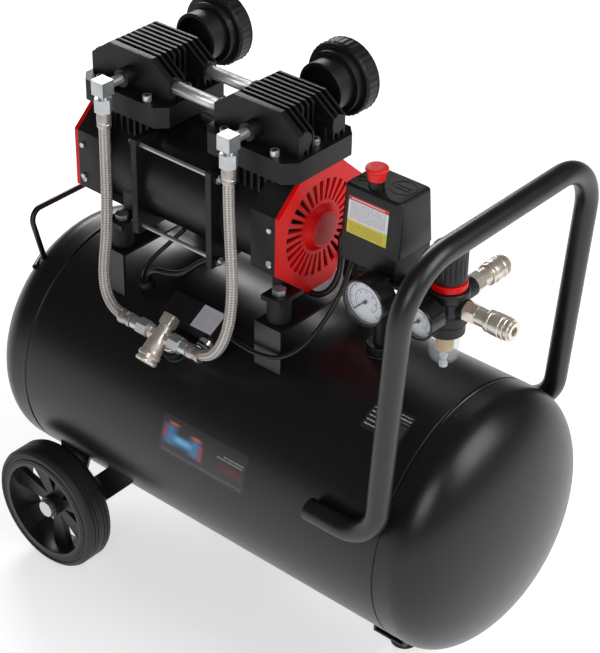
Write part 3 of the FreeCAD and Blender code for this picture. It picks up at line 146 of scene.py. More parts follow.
def addBump(tree, shader, height, strength, distance):
    bump = addNode(tree, "Bump", Strength=strength, Distance=distance)
    tree.links.new(height, bump.inputs["Height"])
    tree.links.new(bump.outputs["Normal"], shader.inputs["Normal"])


finishes = {}


def newMaterial(name):
    # the tree and shader of a new entry in the table of finishes
    material = bpy.data.materials.new(name)
    material.use_nodes = True
    finishes[name] = material
    return material.node_tree, material.node_tree.nodes["Principled BSDF"]


def surface(name, colour, other, roughness=(0.35, 0.45), metallic=0.0, patchScale=9, grainScale=900,
            grainDepth=0.15, grainReach=0.0002, coat=0.0, coatRoughness=0.1, dustScale=60, ior=1.5):
    # two colours, or greys as one number, mixed by broad noise; roughness by finer noise, and a grain
    # of bumps on top
    tree, shader = newMaterial(name)
    where = coordinates(tree, "Object")
    patches = noise(tree, where, patchScale, 5, 0.6)
    fine = noise(tree, where, dustScale, 6, 0.65)
    colour, other = (shade if isinstance(shade, tuple) else (shade,) * 3 for shade in (colour, other))
    mixed = mixColours(tree, calculate(tree, "MULTIPLY", patches, fine), colour, other)
    tree.links.new(mixed, shader.inputs["Base Color"])
    tree.links.new(spread(tree, fine, *roughness), shader.inputs["Roughness"])
    addBump(tree, shader, noise(tree, where, grainScale, 3), grainDepth, grainReach)
    shader.inputs["Metallic"].default_value = metallic
    shader.inputs["IOR"].default_value = ior
    shader.inputs["Coat Weight"].default_value = coat
    shader.inputs["Coat Roughness"].default_value = coatRoughness


surface("tankPaint", (0.0060, 0.0060, 0.0070), (0.011, 0.011, 0.0125), (0.27, 0.38), patchScale=5,
        grainScale=700, grainDepth=0.10, grainReach=0.00025, coat=0.12, coatRoughness=0.34, ior=1.42)
surface("bracketPaint", (0.0055, 0.0055, 0.006), (0.011, 0.011, 0.0115), (0.30, 0.42), grainScale=800,
        grainDepth=0.15, coat=0.1, coatRoughness=0.3)
surface("casting", (0.0035, 0.0035, 0.0038), (0.010, 0.010, 0.0105), (0.38, 0.56), patchScale=30,
        grainScale=1400, grainDepth=0.35, grainReach=0.0003, dustScale=120, ior=1.42)
surface("motorTube", (0.0035, 0.0035, 0.004), (0.009, 0.009, 0.010), (0.28, 0.40), patchScale=14,
        grainScale=1000, grainDepth=0.12, ior=1.45)
surface("bareAluminium", 0.90, (0.72, 0.72, 0.73), (0.30, 0.44), metallic=0.8, patchScale=25,
        grainScale=1500, grainDepth=0.1)
surface("zinc", (0.66, 0.68, 0.69), (0.42, 0.44, 0.46), (0.22, 0.38), metallic=0.8, patchScale=60,
        grainScale=1200, grainDepth=0.12)
surface("nickel", (0.86, 0.79, 0.70), (0.62, 0.56, 0.49), (0.20, 0.36), metallic=0.72, patchScale=70,
        grainScale=1500, grainDepth=0.08)
surface("steel", (0.55, 0.55, 0.56), (0.38, 0.38, 0.40), (0.3, 0.45), metallic=1.0)
surface("rubber", 0.0055, (0.013, 0.0125, 0.012), (0.50, 0.70), patchScale=40, grainScale=1600,
        grainDepth=0.3, ior=1.42)
surface("tyreRubber", (0.010, 0.010, 0.011), (0.024, 0.0235, 0.023), (0.45, 0.62), patchScale=18,
        grainScale=1500, grainDepth=0.3)
surface("lead", 0.005, 0.011, (0.24, 0.36), patchScale=40, grainScale=1200, grainDepth=0.1)
surface("blackPlastic", 0.0055, 0.0125, (0.36, 0.5), patchScale=35, grainScale=2200, grainDepth=0.35,
        grainReach=0.0001, ior=1.45)
surface("filterPlastic", 0.0055, 0.012, (0.40, 0.54), patchScale=25, grainScale=2400, grainDepth=0.4,
        grainReach=0.0001, ior=1.45)
surface("gaugePlastic", 0.005, 0.010, (0.18, 0.3), patchScale=40, grainScale=1500, grainDepth=0.08)
surface("redPlastic", (0.78, 0.002, 0.003), (0.60, 0.001, 0.002), (0.30, 0.42), patchScale=20,
        grainScale=1800, grainDepth=0.08, ior=1.33)
surface("knobRed", (0.83, 0.020, 0.018), (0.70, 0.010, 0.010), (0.36, 0.5), patchScale=60,
        grainScale=2400, grainDepth=0.2, ior=1.4)
surface("dialWhite", (0.80, 0.82, 0.86), (0.74, 0.76, 0.80), (0.4, 0.5), patchScale=30, grainScale=1500,
        grainDepth=0.05)
# dark ink for the dial marks and needles, also used as painted shade on the screw sockets, flange slots
# and the switch cover's hole
surface("inkAndPaintedShade", 0.010, 0.02, (0.5, 0.6))
surface("wheelPlastic", 0.012, (0.024, 0.024, 0.025), (0.3, 0.42), patchScale=25, grainScale=2000,
        grainDepth=0.2, grainReach=0.0001)
surface("frostedRed", (0.50, 0.030, 0.030), (0.42, 0.024, 0.024), (0.5, 0.6), patchScale=40,
        grainScale=2600, grainDepth=0.3, grainReach=0.0001)
surface("ferruleMetal", (0.55, 0.48, 0.44), (0.36, 0.31, 0.28), (0.3, 0.45), metallic=0.8, patchScale=80,
        grainScale=1400, grainDepth=0.15)
surface("chrome", (0.88, 0.88, 0.89), (0.70, 0.70, 0.72), (0.08, 0.16), metallic=0.9, patchScale=60,
        grainScale=1200, grainDepth=0.04)
surface("brassBlack", (0.012, 0.011, 0.010), (0.03, 0.027, 0.024), (0.3, 0.45), metallic=0.3,
        patchScale=60, grainScale=1300, grainDepth=0.2)
surface("paleFloor", 0.90, 0.86, (0.5, 0.6), patchScale=2, grainScale=300, grainDepth=0.02)
surface("foam", 0.10, 0.2, (0.85, 0.95), grainScale=700, grainDepth=0.9, grainReach=0.001)
surface("sinter", (0.80, 0.54, 0.26), (0.62, 0.38, 0.16), (0.7, 0.85), patchScale=120, grainScale=1400,
        grainDepth=0.7, grainReach=0.0004)


def clearPlastic(name, colour, roughness, solid):
    # see-through plastic with faint moulding waves; solid is the share that isn't seen through
    tree, shader = newMaterial(name)
    where = coordinates(tree, "Object")
    shader.inputs["Base Color"].default_value = (*colour, 1)
    tree.links.new(spread(tree, noise(tree, where, 90), roughness, roughness + 0.04),
                   shader.inputs["Roughness"])
    shader.inputs["Alpha"].default_value = solid
    shader.inputs["IOR"].default_value = 1.45
    addBump(tree, shader, noise(tree, where, 60), 0.04, 0.0003)


def braidedSteel(name):
    # bands of wires run along the hose and ribs lie across it, each a sine wave, and the small
    # crossings are their product; u runs round the hose from 0 to 1, v along it in diameters
    tree, shader = newMaterial(name)
    parts = separated(tree, coordinates(tree, "UV"))

    def wave(way, count):
        return calculate(tree, "SINE", calculate(tree, "MULTIPLY", parts[way], 2 * pi * count))

    bands, wires, ribs = wave("X", 9), wave("X", 36), wave("Y", 4.5)
    crossed = calculate(tree, "MULTIPLY", ribs, wires)
    height = calculate(tree, "ADD", calculate(tree, "MULTIPLY", bands, 0.42),
                       calculate(tree, "ADD", calculate(tree, "MULTIPLY", ribs, 0.3),
                                 calculate(tree, "MULTIPLY", crossed, 0.28)))
    # the colour runs from dark in the low parts of the weave to pale on the raised wires: painted shade
    # in the hollows and painted highlight on the crowns
    shade = spread(tree, calculate(tree, "ADD", calculate(tree, "MULTIPLY", height, 0.5), 0.5), 0.0, 1.0)
    tree.links.new(mixColours(tree, shade, (0.17, 0.15, 0.14), (0.86, 0.82, 0.78)),
                   shader.inputs["Base Color"])
    tree.links.new(spread(tree, shade, 0.5, 0.28), shader.inputs["Roughness"])
    shader.inputs["Metallic"].default_value = 0.7
    addBump(tree, shader, height, 0.7, 0.0007)


clearPlastic("clearBowl", (0.70, 0.78, 0.86), 0.04, 0.14)
clearPlastic("lensGlass", (0.80, 0.84, 0.95), 0.03, 0.07)
braidedSteel("braid")
print("materials made:", len(finishes))


def shaded(name, mesh, finish, sharpAngle):
    # an object with the finish, smooth apart from edges sharper than the angle
    mesh.polygons.foreach_set("use_smooth", np.ones(len(mesh.polygons), dtype=bool))
    mesh.set_sharp_from_angle(angle=radians(sharpAngle))
    mesh.materials.clear()
    mesh.materials.append(finishes[finish])
    return linked(name, mesh)


def finishMesh(name, mesh, finish, sharpAngle=35):
    # merged and facing outwards, then shaded
    work = bmesh.new()
    work.from_mesh(mesh)
    bmesh.ops.remove_doubles(work, verts=work.verts, dist=2e-6)
    bmesh.ops.recalc_face_normals(work, faces=work.faces)
    work.to_mesh(mesh)
    work.free()
    return shaded(name, mesh, finish, sharpAngle)


def gridFaces(rows, columns, around=True, along=False, start=0):
    # each cell joins row i to i+1 and column j to j+1; around and along close the grid on itself
    i, j = np.meshgrid(np.arange(rows if along else rows - 1),
                       np.arange(columns if around else columns - 1),
                       indexing="ij")
    nextRow, nextColumn = (i + 1) % rows, (j + 1) % columns
    corners = (i * columns + j, i * columns + nextColumn, nextRow * columns + nextColumn,
               nextRow * columns + j)
    return start + np.stack(corners, -1).reshape(-1, 4)


def gridMesh(name, grids, around=True, along=False, capped=False, uv=None):
    # grids are rows x columns x 3 arrays; capped closes the first and last row with a flat face
    points, faces, start = [], [], 0
    for grid in grids:
        rows, columns = grid.shape[:2]
        points.append(grid.reshape(-1, 3))
        faces += gridFaces(rows, columns, around, along, start).tolist()
        if capped:
            faces.append((start + np.arange(columns)[::-1]).tolist())
            faces.append((start + (rows - 1) * columns + np.arange(columns)).tolist())
        start += rows * columns
    mesh = bpy.data.meshes.new(name)
    mesh.from_pydata(np.concatenate(points).tolist(), [], faces)
    if uv is not None:
        layer = mesh.uv_layers.new(name="UVMap")
        corner = np.empty(len(mesh.loops), dtype=np.int32)
        mesh.loops.foreach_get("vertex_index", corner)
        layer.data.foreach_set("uv", uv[corner].astype(np.float32).ravel())
    return mesh


def roundedOutline(halfX, halfY, radius, steps=8):
    # a rectangle with round corners, as one closed row of points
    angle = np.linspace(0, pi / 2, steps)[None, :] + (np.arange(4) * pi / 2)[:, None]
    signX, signY = np.array([[1], [-1], [-1], [1]]), np.array([[1], [1], [-1], [-1]])
    x = signX * (halfX - radius) + radius * np.cos(angle)
    y = signY * (halfY - radius) + radius * np.sin(angle)
    return np.stack([x, y], -1).reshape(-1, 2)


acrossAxes = {"X": ((1, 0, 0), (0, 1, 0), (0, 0, 1)), "Y": ((0, 1, 0), (0, 0, 1), (1, 0, 0)),
              "Z": ((0, 0, 1), (1, 0, 0), (0, 1, 0))}


def softened(profile, size):
    # each corner of the profile becomes a small parabola that starts and ends at most size away
    corner = np.array(profile, dtype=float)
    before, here, after = corner[:-2], corner[1:-1], corner[2:]
    back, ahead = before - here, after - here
    backLong = np.linalg.norm(back, axis=1, keepdims=True)
    aheadLong = np.linalg.norm(ahead, axis=1, keepdims=True)
    reach = np.minimum(size, 0.45 * np.minimum(backLong, aheadLong))
    first = here + back / backLong * reach
    last = here + ahead / aheadLong * reach
    t = np.linspace(0, 1, 4)[None, :, None]
    arc = (1 - t) ** 2 * first[:, None] + 2 * t * (1 - t) * here[:, None] + t ** 2 * last[:, None]
    return np.vstack([corner[:1], arc.reshape(-1, 2), corner[-1:]])


axisRise = 224    # tank axis above the floor, mm
valveRise, valveTilt = 186.6, 41.3    # the check valve's axis, and its lean round the tank in degrees
coilTilt = 29.5


def fromTankAxis(grid, tilt=0.0):
    # millimetres from the tank axis, turned round it by tilt degrees, to metres above the floor
    c, s = cos(radians(tilt)), sin(radians(tilt))
    turned = grid @ np.array([(1, 0, 0), (0, c, s), (0, -s, c)])
    return (turned + (0, 0, axisRise)) * mm


def turnedGrid(profile, centre, axis, steps, ripple=None, turn=0.0):
    # place along the axis and radius from the profile, turned round the axis in equal steps;
    # ripple gives what is added to the radius for each place and angle; the centre is in
    # millimetres from the tank axis, and turn swings the result round that axis
    along, sideA, sideB = (np.array(way, dtype=float) for way in acrossAxes[axis])
    place, radius = np.asarray(profile, dtype=float).T
    angle = np.arange(steps) * 2 * pi / steps
    ring = radius[:, None] + (0 if ripple is None else ripple(place[:, None], angle[None, :],
                                                              radius[:, None]))
    grid = (place[:, None, None] * along + (ring * np.cos(angle))[..., None] * sideA
            + (ring * np.sin(angle))[..., None] * sideB)
    return fromTankAxis(grid + np.array(centre, dtype=float), turn)


def turned(name, profile, centre, axis, finish, steps=64, soft=0.0, ripple=None, turn=0.0, closed=False,
           sharpAngle=35):
    # a turned piece: the profile ends on the axis, or is closed on itself as a ring's section
    if soft:
        if closed:
            profile = list(profile) + [profile[0], profile[1]]
            profile = softened(profile, soft)[1:-1]
        else:
            profile = softened(profile, soft)
    grid = turnedGrid(profile, centre, axis, steps, ripple, turn)
    return finishMesh(name, gridMesh(name, [grid], True, closed), finish, sharpAngle)


def dressed(node, finish, bevel, sharpAngle=32):
    # a copy of a CAD node's mesh, merged, with edges rounded by bevel millimetres and the finish
    mesh = frame["nodes"][node].data.copy()
    work = bmesh.new()
    work.from_mesh(mesh)
    bmesh.ops.remove_doubles(work, verts=work.verts, dist=2e-6)
    if bevel:
        bmesh.ops.dissolve_limit(work, angle_limit=radians(0.6), verts=work.verts, edges=work.edges)
    work.to_mesh(mesh)
    work.free()
    piece = shaded(node + "Skin", mesh, finish, sharpAngle)
    if bevel:
        rounding = piece.modifiers.new("rounding", "BEVEL")
        rounding.width = bevel * mm
        rounding.segments = 2
        rounding.limit_method = "ANGLE"
        rounding.angle_limit = radians(sharpAngle)
        rounding.harden_normals = True
    return keep(piece, node)


def keep(piece, *nodes, slot=None, replace=True):
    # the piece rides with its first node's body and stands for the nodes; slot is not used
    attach(piece, bodyOfNode[nodes[0]])
    if replace:
        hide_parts(*nodes)
    return piece


def joined(name, pieces):
    # several finished meshes as one piece
    work = bmesh.new()
    for piece in pieces:
        work.from_mesh(piece.data)
    mesh = bpy.data.meshes.new(name)
    work.to_mesh(mesh)
    work.free()
    for material in pieces[0].data.materials:
        mesh.materials.append(material)
    for piece in pieces:
        bpy.data.objects.remove(piece)
    return linked(name, mesh)


def addTurned(name, profile, centre, axis, finish, node, slot=None, **shape):
    # a turned piece laid over a node that stays in view
    return keep(turned(name, profile, centre, axis, finish, **shape), node, slot=slot, replace=False)


def levelRow(outline, z):
    # a flat outline as a row of points at one height
    return np.column_stack([outline, np.full(len(outline), z)])


def curveMesh(curve):
    # the points and faces that a curve makes; the curve is removed
    holder = linked(curve.name, curve)
    mesh = bpy.data.meshes.new_from_object(holder.evaluated_get(bpy.context.evaluated_depsgraph_get()))
    points = np.empty(len(mesh.vertices) * 3)
    mesh.vertices.foreach_get("co", points)
    cells = [tuple(face.vertices) for face in mesh.polygons]
    bpy.data.objects.remove(holder)
    bpy.data.curves.remove(curve)
    bpy.data.meshes.remove(mesh)
    return points.reshape(-1, 3), cells


def splinePoints(name, corners):
    # the smooth centre line: a NURBS spline with the route's corners as its control points
    curve = bpy.data.curves.new(name + "Line", "CURVE")
    curve.dimensions = "3D"
    curve.resolution_u = 16
    spline = curve.splines.new("NURBS")
    spline.points.add(len(corners) - 1)
    flat = np.column_stack([fromTankAxis(np.array(corners, dtype=float)), np.ones(len(corners))])
    spline.points.foreach_set("co", flat.ravel())
    spline.order_u = 3
    spline.use_endpoint_u = True
    return curveMesh(curve)[0]


def sweptGrid(points, radius, steps):
    # rings across the line: each ring's two sides come from the tangent and a side vector that is
    # carried along with it
    tangent = np.gradient(points, axis=0)
    tangent /= np.linalg.norm(tangent, axis=1, keepdims=True)
    side = np.empty_like(points)
    last = np.cross(tangent[0], (0.3, 0.9, 0.1))
    for k, way in enumerate(tangent):
        last = last - way * last.dot(way)
        last /= np.linalg.norm(last)
        side[k] = last
    other = np.cross(tangent, side)
    angle = np.arange(steps) * 2 * pi / steps
    size = np.broadcast_to(np.asarray(radius, dtype=float), (len(points),))[:, None, None] * mm
    return (points[:, None, :] + size * (np.cos(angle)[None, :, None] * side[:, None, :]
                                         + np.sin(angle)[None, :, None] * other[:, None, :]))


def hose(name, node, corners, radius, finish, steps=28):
    # a tube along the smooth line, with u round it and v along it in diameters
    points = splinePoints(name, corners)
    grid = sweptGrid(points, radius, steps)
    step = np.linalg.norm(np.diff(points, axis=0), axis=1)
    along = np.concatenate([[0], np.cumsum(step)])
    grid = np.concatenate([grid, grid[:, :1]], axis=1)
    u, v = np.meshgrid(np.linspace(0, 1, steps + 1), along / (2 * radius * mm))
    uv = np.stack([u, v], -1).reshape(-1, 2)
    mesh = gridMesh(name, [grid], around=False, uv=uv)
    piece = keep(finishMesh(name, mesh, finish), node)
    return piece


hoseRoutes = {    # millimetres from the tank axis
    "hoseLeft": ("hose_left", [(-183, -77, 327.5), (-183, -77, 297.5), (-174, -86, 252), (-163, -99, 213),
                               (-158, -111, 176), (-147, -119, 153), (-125.5, -123.16, 140.19),
                               (-101.5, -123.16, 140.19)]),
    "hoseRight": ("hose_right", [(-6, -77, 327.5), (-6, -77, 299.5), (6, -87, 255), (20, -100, 215),
                                 (25, -112, 180), (17, -120, 153), (-1.5, -123.16, 140.19),
                                 (-21.5, -123.16, 140.19)]),
}
for name, (node, corners) in hoseRoutes.items():
    hose(name, node, corners, 6.2, "braid")


def onLeadTilt(x, rise):
    # a point at a distance from the tank axis, in the slanted plane of the lead grommet
    return x, -rise * sin(radians(leadTilt)), rise * cos(radians(leadTilt))


leadTilt = 22.8    # degrees round the tank from the top
leadRoutes = {
    "thickLead": (3.5, [onLeadTilt(-141.5, 152), onLeadTilt(-140.5, 166), (-124, -67, 170),
                        (-102, -67, 174), (-80, -66, 183), (-64, -60, 201), (-45, -55, 214)]),
    "thinLead": (2.5, [onLeadTilt(-149.5, 152), onLeadTilt(-149, 166), (-141, -52, 172), (-127, -42, 190),
                       (-112, -32, 210)]),
    "powerLead": (3.5, [(34, -12, 197), (46, -12, 187.2), (64, -8, 190), (76, -2, 206), (78, 4, 228),
                        (72, 9, 250), (74, 10, 266), (88, 10, 274)]),
    "unloaderTube": (2.5, [(-7.5, -85, 150), (14, -87, 147), (44, -88, 146), (74, -84, 152),
                           (94, -68, 172), (104, -46, 202), (108, -26, 232), (110, -18, 262)]),
}
for name, (radius, corners) in leadRoutes.items():
    hose(name, "motor_leads", corners, radius, "lead", steps=20)
addTurned("leadGrommet", [(148, 8.6), (153, 9.4), (154.5, 9.0), (157.5, 7.4), (158, 6.6), (156, 0)],
          (-145, 0, 0), "Z", "rubber", "motor_leads", steps=40, soft=0.8, turn=leadTilt)
print("hoses and leads laid:", len(hoseRoutes) + len(leadRoutes))

tank = {"radius": 150.0, "seam": 253.4, "flange": 20.0, "dome": 66.0, "groove": 1.1, "steps": 240}


def tankProfile():
    # the shell, the groove and weld bead at the seam, the flange, then a quarter of an ellipse
    r, seam = tank["radius"], tank["seam"]
    shell = np.linspace(0, seam - 2.4, 24)
    edge = [(seam - 1.6, r), (seam - 1.2, r - 0.4), (seam - 1.0, r - tank["groove"]),
            (seam + 0.6, r - tank["groove"]), (seam + 1.0, r - 0.5), (seam + 1.8, r + 0.1),
            (seam + 3.2, r + 0.15), (seam + 4.6, r - 0.1)]
    flange = np.linspace(seam + 6, seam + tank["flange"], 4)
    t = np.linspace(0, pi / 2, 40)[1:]
    dome = np.column_stack([seam + tank["flange"] + tank["dome"] * np.sin(t), r * np.cos(t)])
    half = np.vstack([np.column_stack([shell, np.full(24, r)]), edge,
                      np.column_stack([flange, np.full(4, r - 0.1)]), dome])
    return np.vstack([half[::-1] * (-1, 1), half[1:]])


tankSkin = turned("tankSkin", tankProfile(), (0, 0, 0), "X", "tankPaint", steps=tank["steps"],
                  sharpAngle=50)
keep(tankSkin, "tank_shell", "tank_ends")


def tankPatch(name, finish, middle, size, lift=0.12, cells=(24, 20)):
    # a sheet bent round the tank: x along it, the angle round it from the front, lift above the skin;
    # u runs along x and v upwards; middle is (x, degrees from the front), size is (length, height)
    rows, columns = cells
    r = tank["radius"] + lift
    u, v = np.meshgrid(np.linspace(0, 1, columns), np.linspace(0, 1, rows))
    x = middle[0] + (u - 0.5) * size[0]
    angle = radians(middle[1]) + (v - 0.5) * size[1] / r
    grid = fromTankAxis(np.stack([x, -r * np.cos(angle), r * np.sin(angle)], -1))
    mesh = gridMesh(name, [grid], around=False, uv=np.stack([u, v], -1).reshape(-1, 2))
    piece = finishMesh(name, mesh, finish)
    flipOutwards(piece, (0, 0, axisRise * mm))
    return keep(piece, "tank_shell", replace=False)


def flipOutwards(piece, centre):
    # an open sheet's faces are turned away from a point
    mesh = piece.data
    spot, normal = mesh.polygons[0].center, mesh.polygons[0].normal
    if (spot - Vector((spot.x, centre[1], centre[2]))).dot(normal) < 0:
        mesh.flip_normals()


def beadAlong(name, points, radius, node, finish="bracketPaint", pitch=2.2, steps=10):
    # a weld bead: a round cord along the points, swelling and narrowing once every pitch
    points = fromTankAxis(np.array(points, dtype=float))
    step = np.linalg.norm(np.diff(points, axis=0), axis=1)
    along = np.concatenate([[0], np.cumsum(step)]) / mm
    spaced = np.linspace(0, along[-1], int(along[-1] / pitch * 5))
    line = np.stack([np.interp(spaced, along, points[:, k]) for k in range(3)], -1)
    size = radius * (1 + 0.16 * np.sin(spaced * 2 * pi / pitch))
    size[0] = size[-1] = radius * 0.3
    mesh = gridMesh(name, [sweptGrid(line, size, steps)], capped=True)
    return keep(finishMesh(name, mesh, finish, 60), node, replace=False)


def bossBeads():
    # a bead round each welded pipe boss, where it meets the tank's round surface
    for k, (x, tilt) in enumerate(bossPlaces):
        angle = np.linspace(0, 2 * pi, 60)
        px, py = bossRadius * np.cos(angle), bossRadius * np.sin(angle)
        lift = np.sqrt(tank["radius"] ** 2 - py ** 2) + 0.2
        c, s = cos(radians(tilt)), sin(radians(tilt))
        ring = np.stack([x + px, py * c - lift * s, py * s + lift * c], -1)
        beadAlong("bossBead%d" % k, ring, 1.6, "tank_bosses", "tankPaint")


bossRadius, valvePlace = 15.6, -61.5
bossPlaces = [(137, 0), (-20, 180), (valvePlace, valveTilt)]
bossBeads()
print("tank made")


def patchMask(tree, where, left, right, low, high, soft=0.01):
    # 1 inside a rectangle of the UV square and 0 outside, with soft edges
    parts = separated(tree, where)
    factor = None
    for socket, start, end in (("X", left, right), ("Y", low, high)):
        for edge, way in ((start, 1), (end, -1)):
            ramp = addNode(tree, "MapRange")
            ramp.inputs["From Min"].default_value = edge - way * soft
            ramp.inputs["From Max"].default_value = edge + way * soft
            tree.links.new(parts[socket], ramp.inputs["Value"])
            side = ramp.outputs["Result"]
            factor = side if factor is None else calculate(tree, "MULTIPLY", factor, side)
    return factor


def stripes(tree, where, count, share):
    # 1 on a share of each of count level lines, 0 between them, with broken ends from noise
    wave = calculate(tree, "FRACT", calculate(tree, "MULTIPLY", separated(tree, where)["Y"], count))
    line = calculate(tree, "LESS_THAN", wave, share)
    return calculate(tree, "MULTIPLY", line, calculate(tree, "GREATER_THAN", noise(tree, where, 38, 2),
                                                       0.42))


def printed(name, ground, fields, roughness=0.35, coat=0.3):
    # a printed label: fields are (left, right, low, high, colour, soft, lines), laid over the ground
    # in turn
    tree, shader = newMaterial(name)
    where = coordinates(tree, "UV")
    fine = noise(tree, coordinates(tree, "Object"), 500, 3)
    colour = mixColours(tree, fine, ground, tuple(c * 0.86 for c in ground))
    for left, right, low, high, ink, soft, lines in fields:
        mask = patchMask(tree, where, left, right, low, high, soft)
        if lines:
            mask = calculate(tree, "MULTIPLY", mask, stripes(tree, where, *lines))
        colour = mixColours(tree, mask, colour, ink)
    tree.links.new(colour, shader.inputs["Base Color"])
    tree.links.new(spread(tree, fine, roughness - 0.05, roughness + 0.1), shader.inputs["Roughness"])
    shader.inputs["Coat Weight"].default_value = coat
    shader.inputs["Coat Roughness"].default_value = 0.12


white, grey, red, yellow = (0.82, 0.82, 0.84), (0.42, 0.42, 0.47), (0.60, 0.012, 0.03), (0.72, 0.60, 0.02)
printed("sticker", white, [
    (0.0, 1.0, 0.0, 1.0, white, 0.001, None),
    (0.06, 0.94, 0.40, 0.86, grey, 0.004, (26, 0.5)),
    (-1.0, 2.0, 0.89, 2.0, red, 0.002, None),
    (0.06, 0.90, 0.925, 0.965, (0.80, 0.45, 0.45), 0.004, None),
    (-1.0, 2.0, -1.0, 0.36, yellow, 0.002, None),
    (0.06, 0.90, 0.05, 0.31, (0.40, 0.32, 0.02), 0.004, (22, 0.42)),
])
printed("tankLabel", (0.012, 0.012, 0.014), [
    (0.10, 0.42, 0.34, 0.60, (0.03, 0.16, 0.38), 0.06, None),
    (0.15, 0.40, 0.42, 0.56, (0.16, 0.48, 0.78), 0.04, None),
    (0.06, 0.16, 0.30, 0.78, (0.04, 0.20, 0.42), 0.05, None),
    (0.36, 0.46, 0.26, 0.70, (0.04, 0.20, 0.42), 0.05, None),
    (0.035, 0.06, 0.40, 0.72, (0.42, 0.02, 0.05), 0.02, None),
    (0.455, 0.485, 0.24, 0.62, (0.50, 0.02, 0.05), 0.02, None),
    (0.09, 0.19, 0.80, 0.86, (0.65, 0.13, 0.03), 0.03, None),
    (0.36, 0.46, 0.70, 0.77, (0.65, 0.13, 0.03), 0.03, None),
    (0.68, 0.97, 0.30, 0.52, (0.075, 0.008, 0.010), 0.03, None),
    (0.66, 0.97, 0.60, 0.645, (0.30, 0.30, 0.31), 0.004, (40, 0.6)),
    (0.74, 0.97, 0.67, 0.715, (0.30, 0.30, 0.31), 0.004, (40, 0.6)),
    (0.03, 0.97, 0.06, 0.12, (0.10, 0.10, 0.11), 0.004, (30, 0.5)),
], roughness=0.38, coat=0.2)
printed("dataPlate", (0.022, 0.022, 0.026), [
    (0.05, 0.40, 0.10, 0.90, (0.45, 0.45, 0.47), 0.004, (7, 0.30)),
    (0.62, 0.95, 0.66, 0.90, (0.45, 0.45, 0.47), 0.004, (8, 0.40)),
    (0.44, 0.95, 0.12, 0.58, (0.050, 0.050, 0.055), 0.004, None),
], roughness=0.3)
printed("coilLabel", (0.62, 0.60, 0.66), [
    (0.08, 0.55, 0.10, 0.88, (0.44, 0.42, 0.47), 0.004, (11, 0.4)),
    (0.60, 0.92, 0.14, 0.84, (0.50, 0.34, 0.40), 0.004, (14, 0.35)),
], roughness=0.3)

tankPatch("frontLabel", "tankLabel", (17.5, 14), (121, 46), cells=(14, 8))
tankPatch("platePatch", "dataPlate", (206, 61), (50, 35), lift=0.5, cells=(10, 8))


def sticker(name, finish, corners, node, lift=0.15, tilt=0.0):
    # a flat sheet on a flat face: corners are low left, low right, high right, high left, in
    # millimetres from the tank axis, lifted along its own normal
    a, b, c, d = (np.array(corner, dtype=float) for corner in corners)
    normal = np.cross(b - a, d - a)
    normal /= np.linalg.norm(normal)
    grid = fromTankAxis(np.array([[a, b], [d, c]]) + normal * lift, tilt)
    normal = fromTankAxis(normal, tilt) - fromTankAxis(np.zeros(3), tilt)
    uv = np.array([(0, 0), (1, 0), (0, 1), (1, 1)], dtype=float)
    mesh = gridMesh(name, [grid], around=False, uv=uv)
    mesh.materials.append(finishes[finish])
    if np.array(mesh.polygons[0].normal).dot(normal) < 0:
        mesh.flip_normals()
    return keep(linked(name, mesh), node, replace=False)


sticker("coilSticker", "coilLabel", [(-38, -14, 185), (-8.5, -14, 185), (-8.5, 14, 185), (-38, 14, 185)],
        "unloader_valve", tilt=coilTilt)
print("labels stuck on")

tyre = {"inner": 137.0, "outer": 175.0, "bore": 62.1, "tread": 76.8, "grooves": (146.5, 151, 161, 165.5),
        "centre": (-210, 0, -147)}


def tyreSection():
    # bore, side wall with two steps, shoulder, and the tread with its shallow grooves, then the same back
    middle, bore, tread = (tyre["inner"] + tyre["outer"]) / 2, tyre["bore"], tyre["tread"]
    wall = [(137.3, bore), (137.3, bore + 3), (138.6, bore + 3.8), (138.8, bore + 7.2),
            (137.6, bore + 8.2), (137.8, bore + 10.6), (139.8, bore + 12.6), (140.4, bore + 13.4),
            (143.4, tread)]
    tops = []
    for place in tyre["grooves"]:
        tops += [(place - 0.7, tread), (place - 0.4, tread - 0.9), (place + 0.4, tread - 0.9),
                 (place + 0.7, tread)]
    back = [(2 * middle - y, r) for y, r in wall[::-1]]
    return wall + tops + back


for side, way in (("back", 1), ("front", -1)):
    section = np.array(tyreSection()) * (way, 1)
    ring = turned("tyreSkin_" + side, section, tyre["centre"], "Y", "tyreRubber", steps=160, closed=True,
                  sharpAngle=40)
    keep(ring, "tyre_" + side)
    dressed("wheel_" + side, "wheelPlastic", bevel=0.8)
print("wheels made")


def recolour(piece, finish, chosen):
    # a second finish on the faces whose centres, in millimetres from the tank axis, are chosen
    mesh = piece.data
    centres = np.empty(len(mesh.polygons) * 3)
    mesh.polygons.foreach_get("center", centres)
    centres = centres.reshape(-1, 3) / mm - (0, 0, axisRise)
    mesh.materials.append(finishes[finish])
    mesh.polygons.foreach_set("material_index", np.where(chosen(centres), len(mesh.materials) - 1,
                                                         0).astype(np.int32))
    return piece


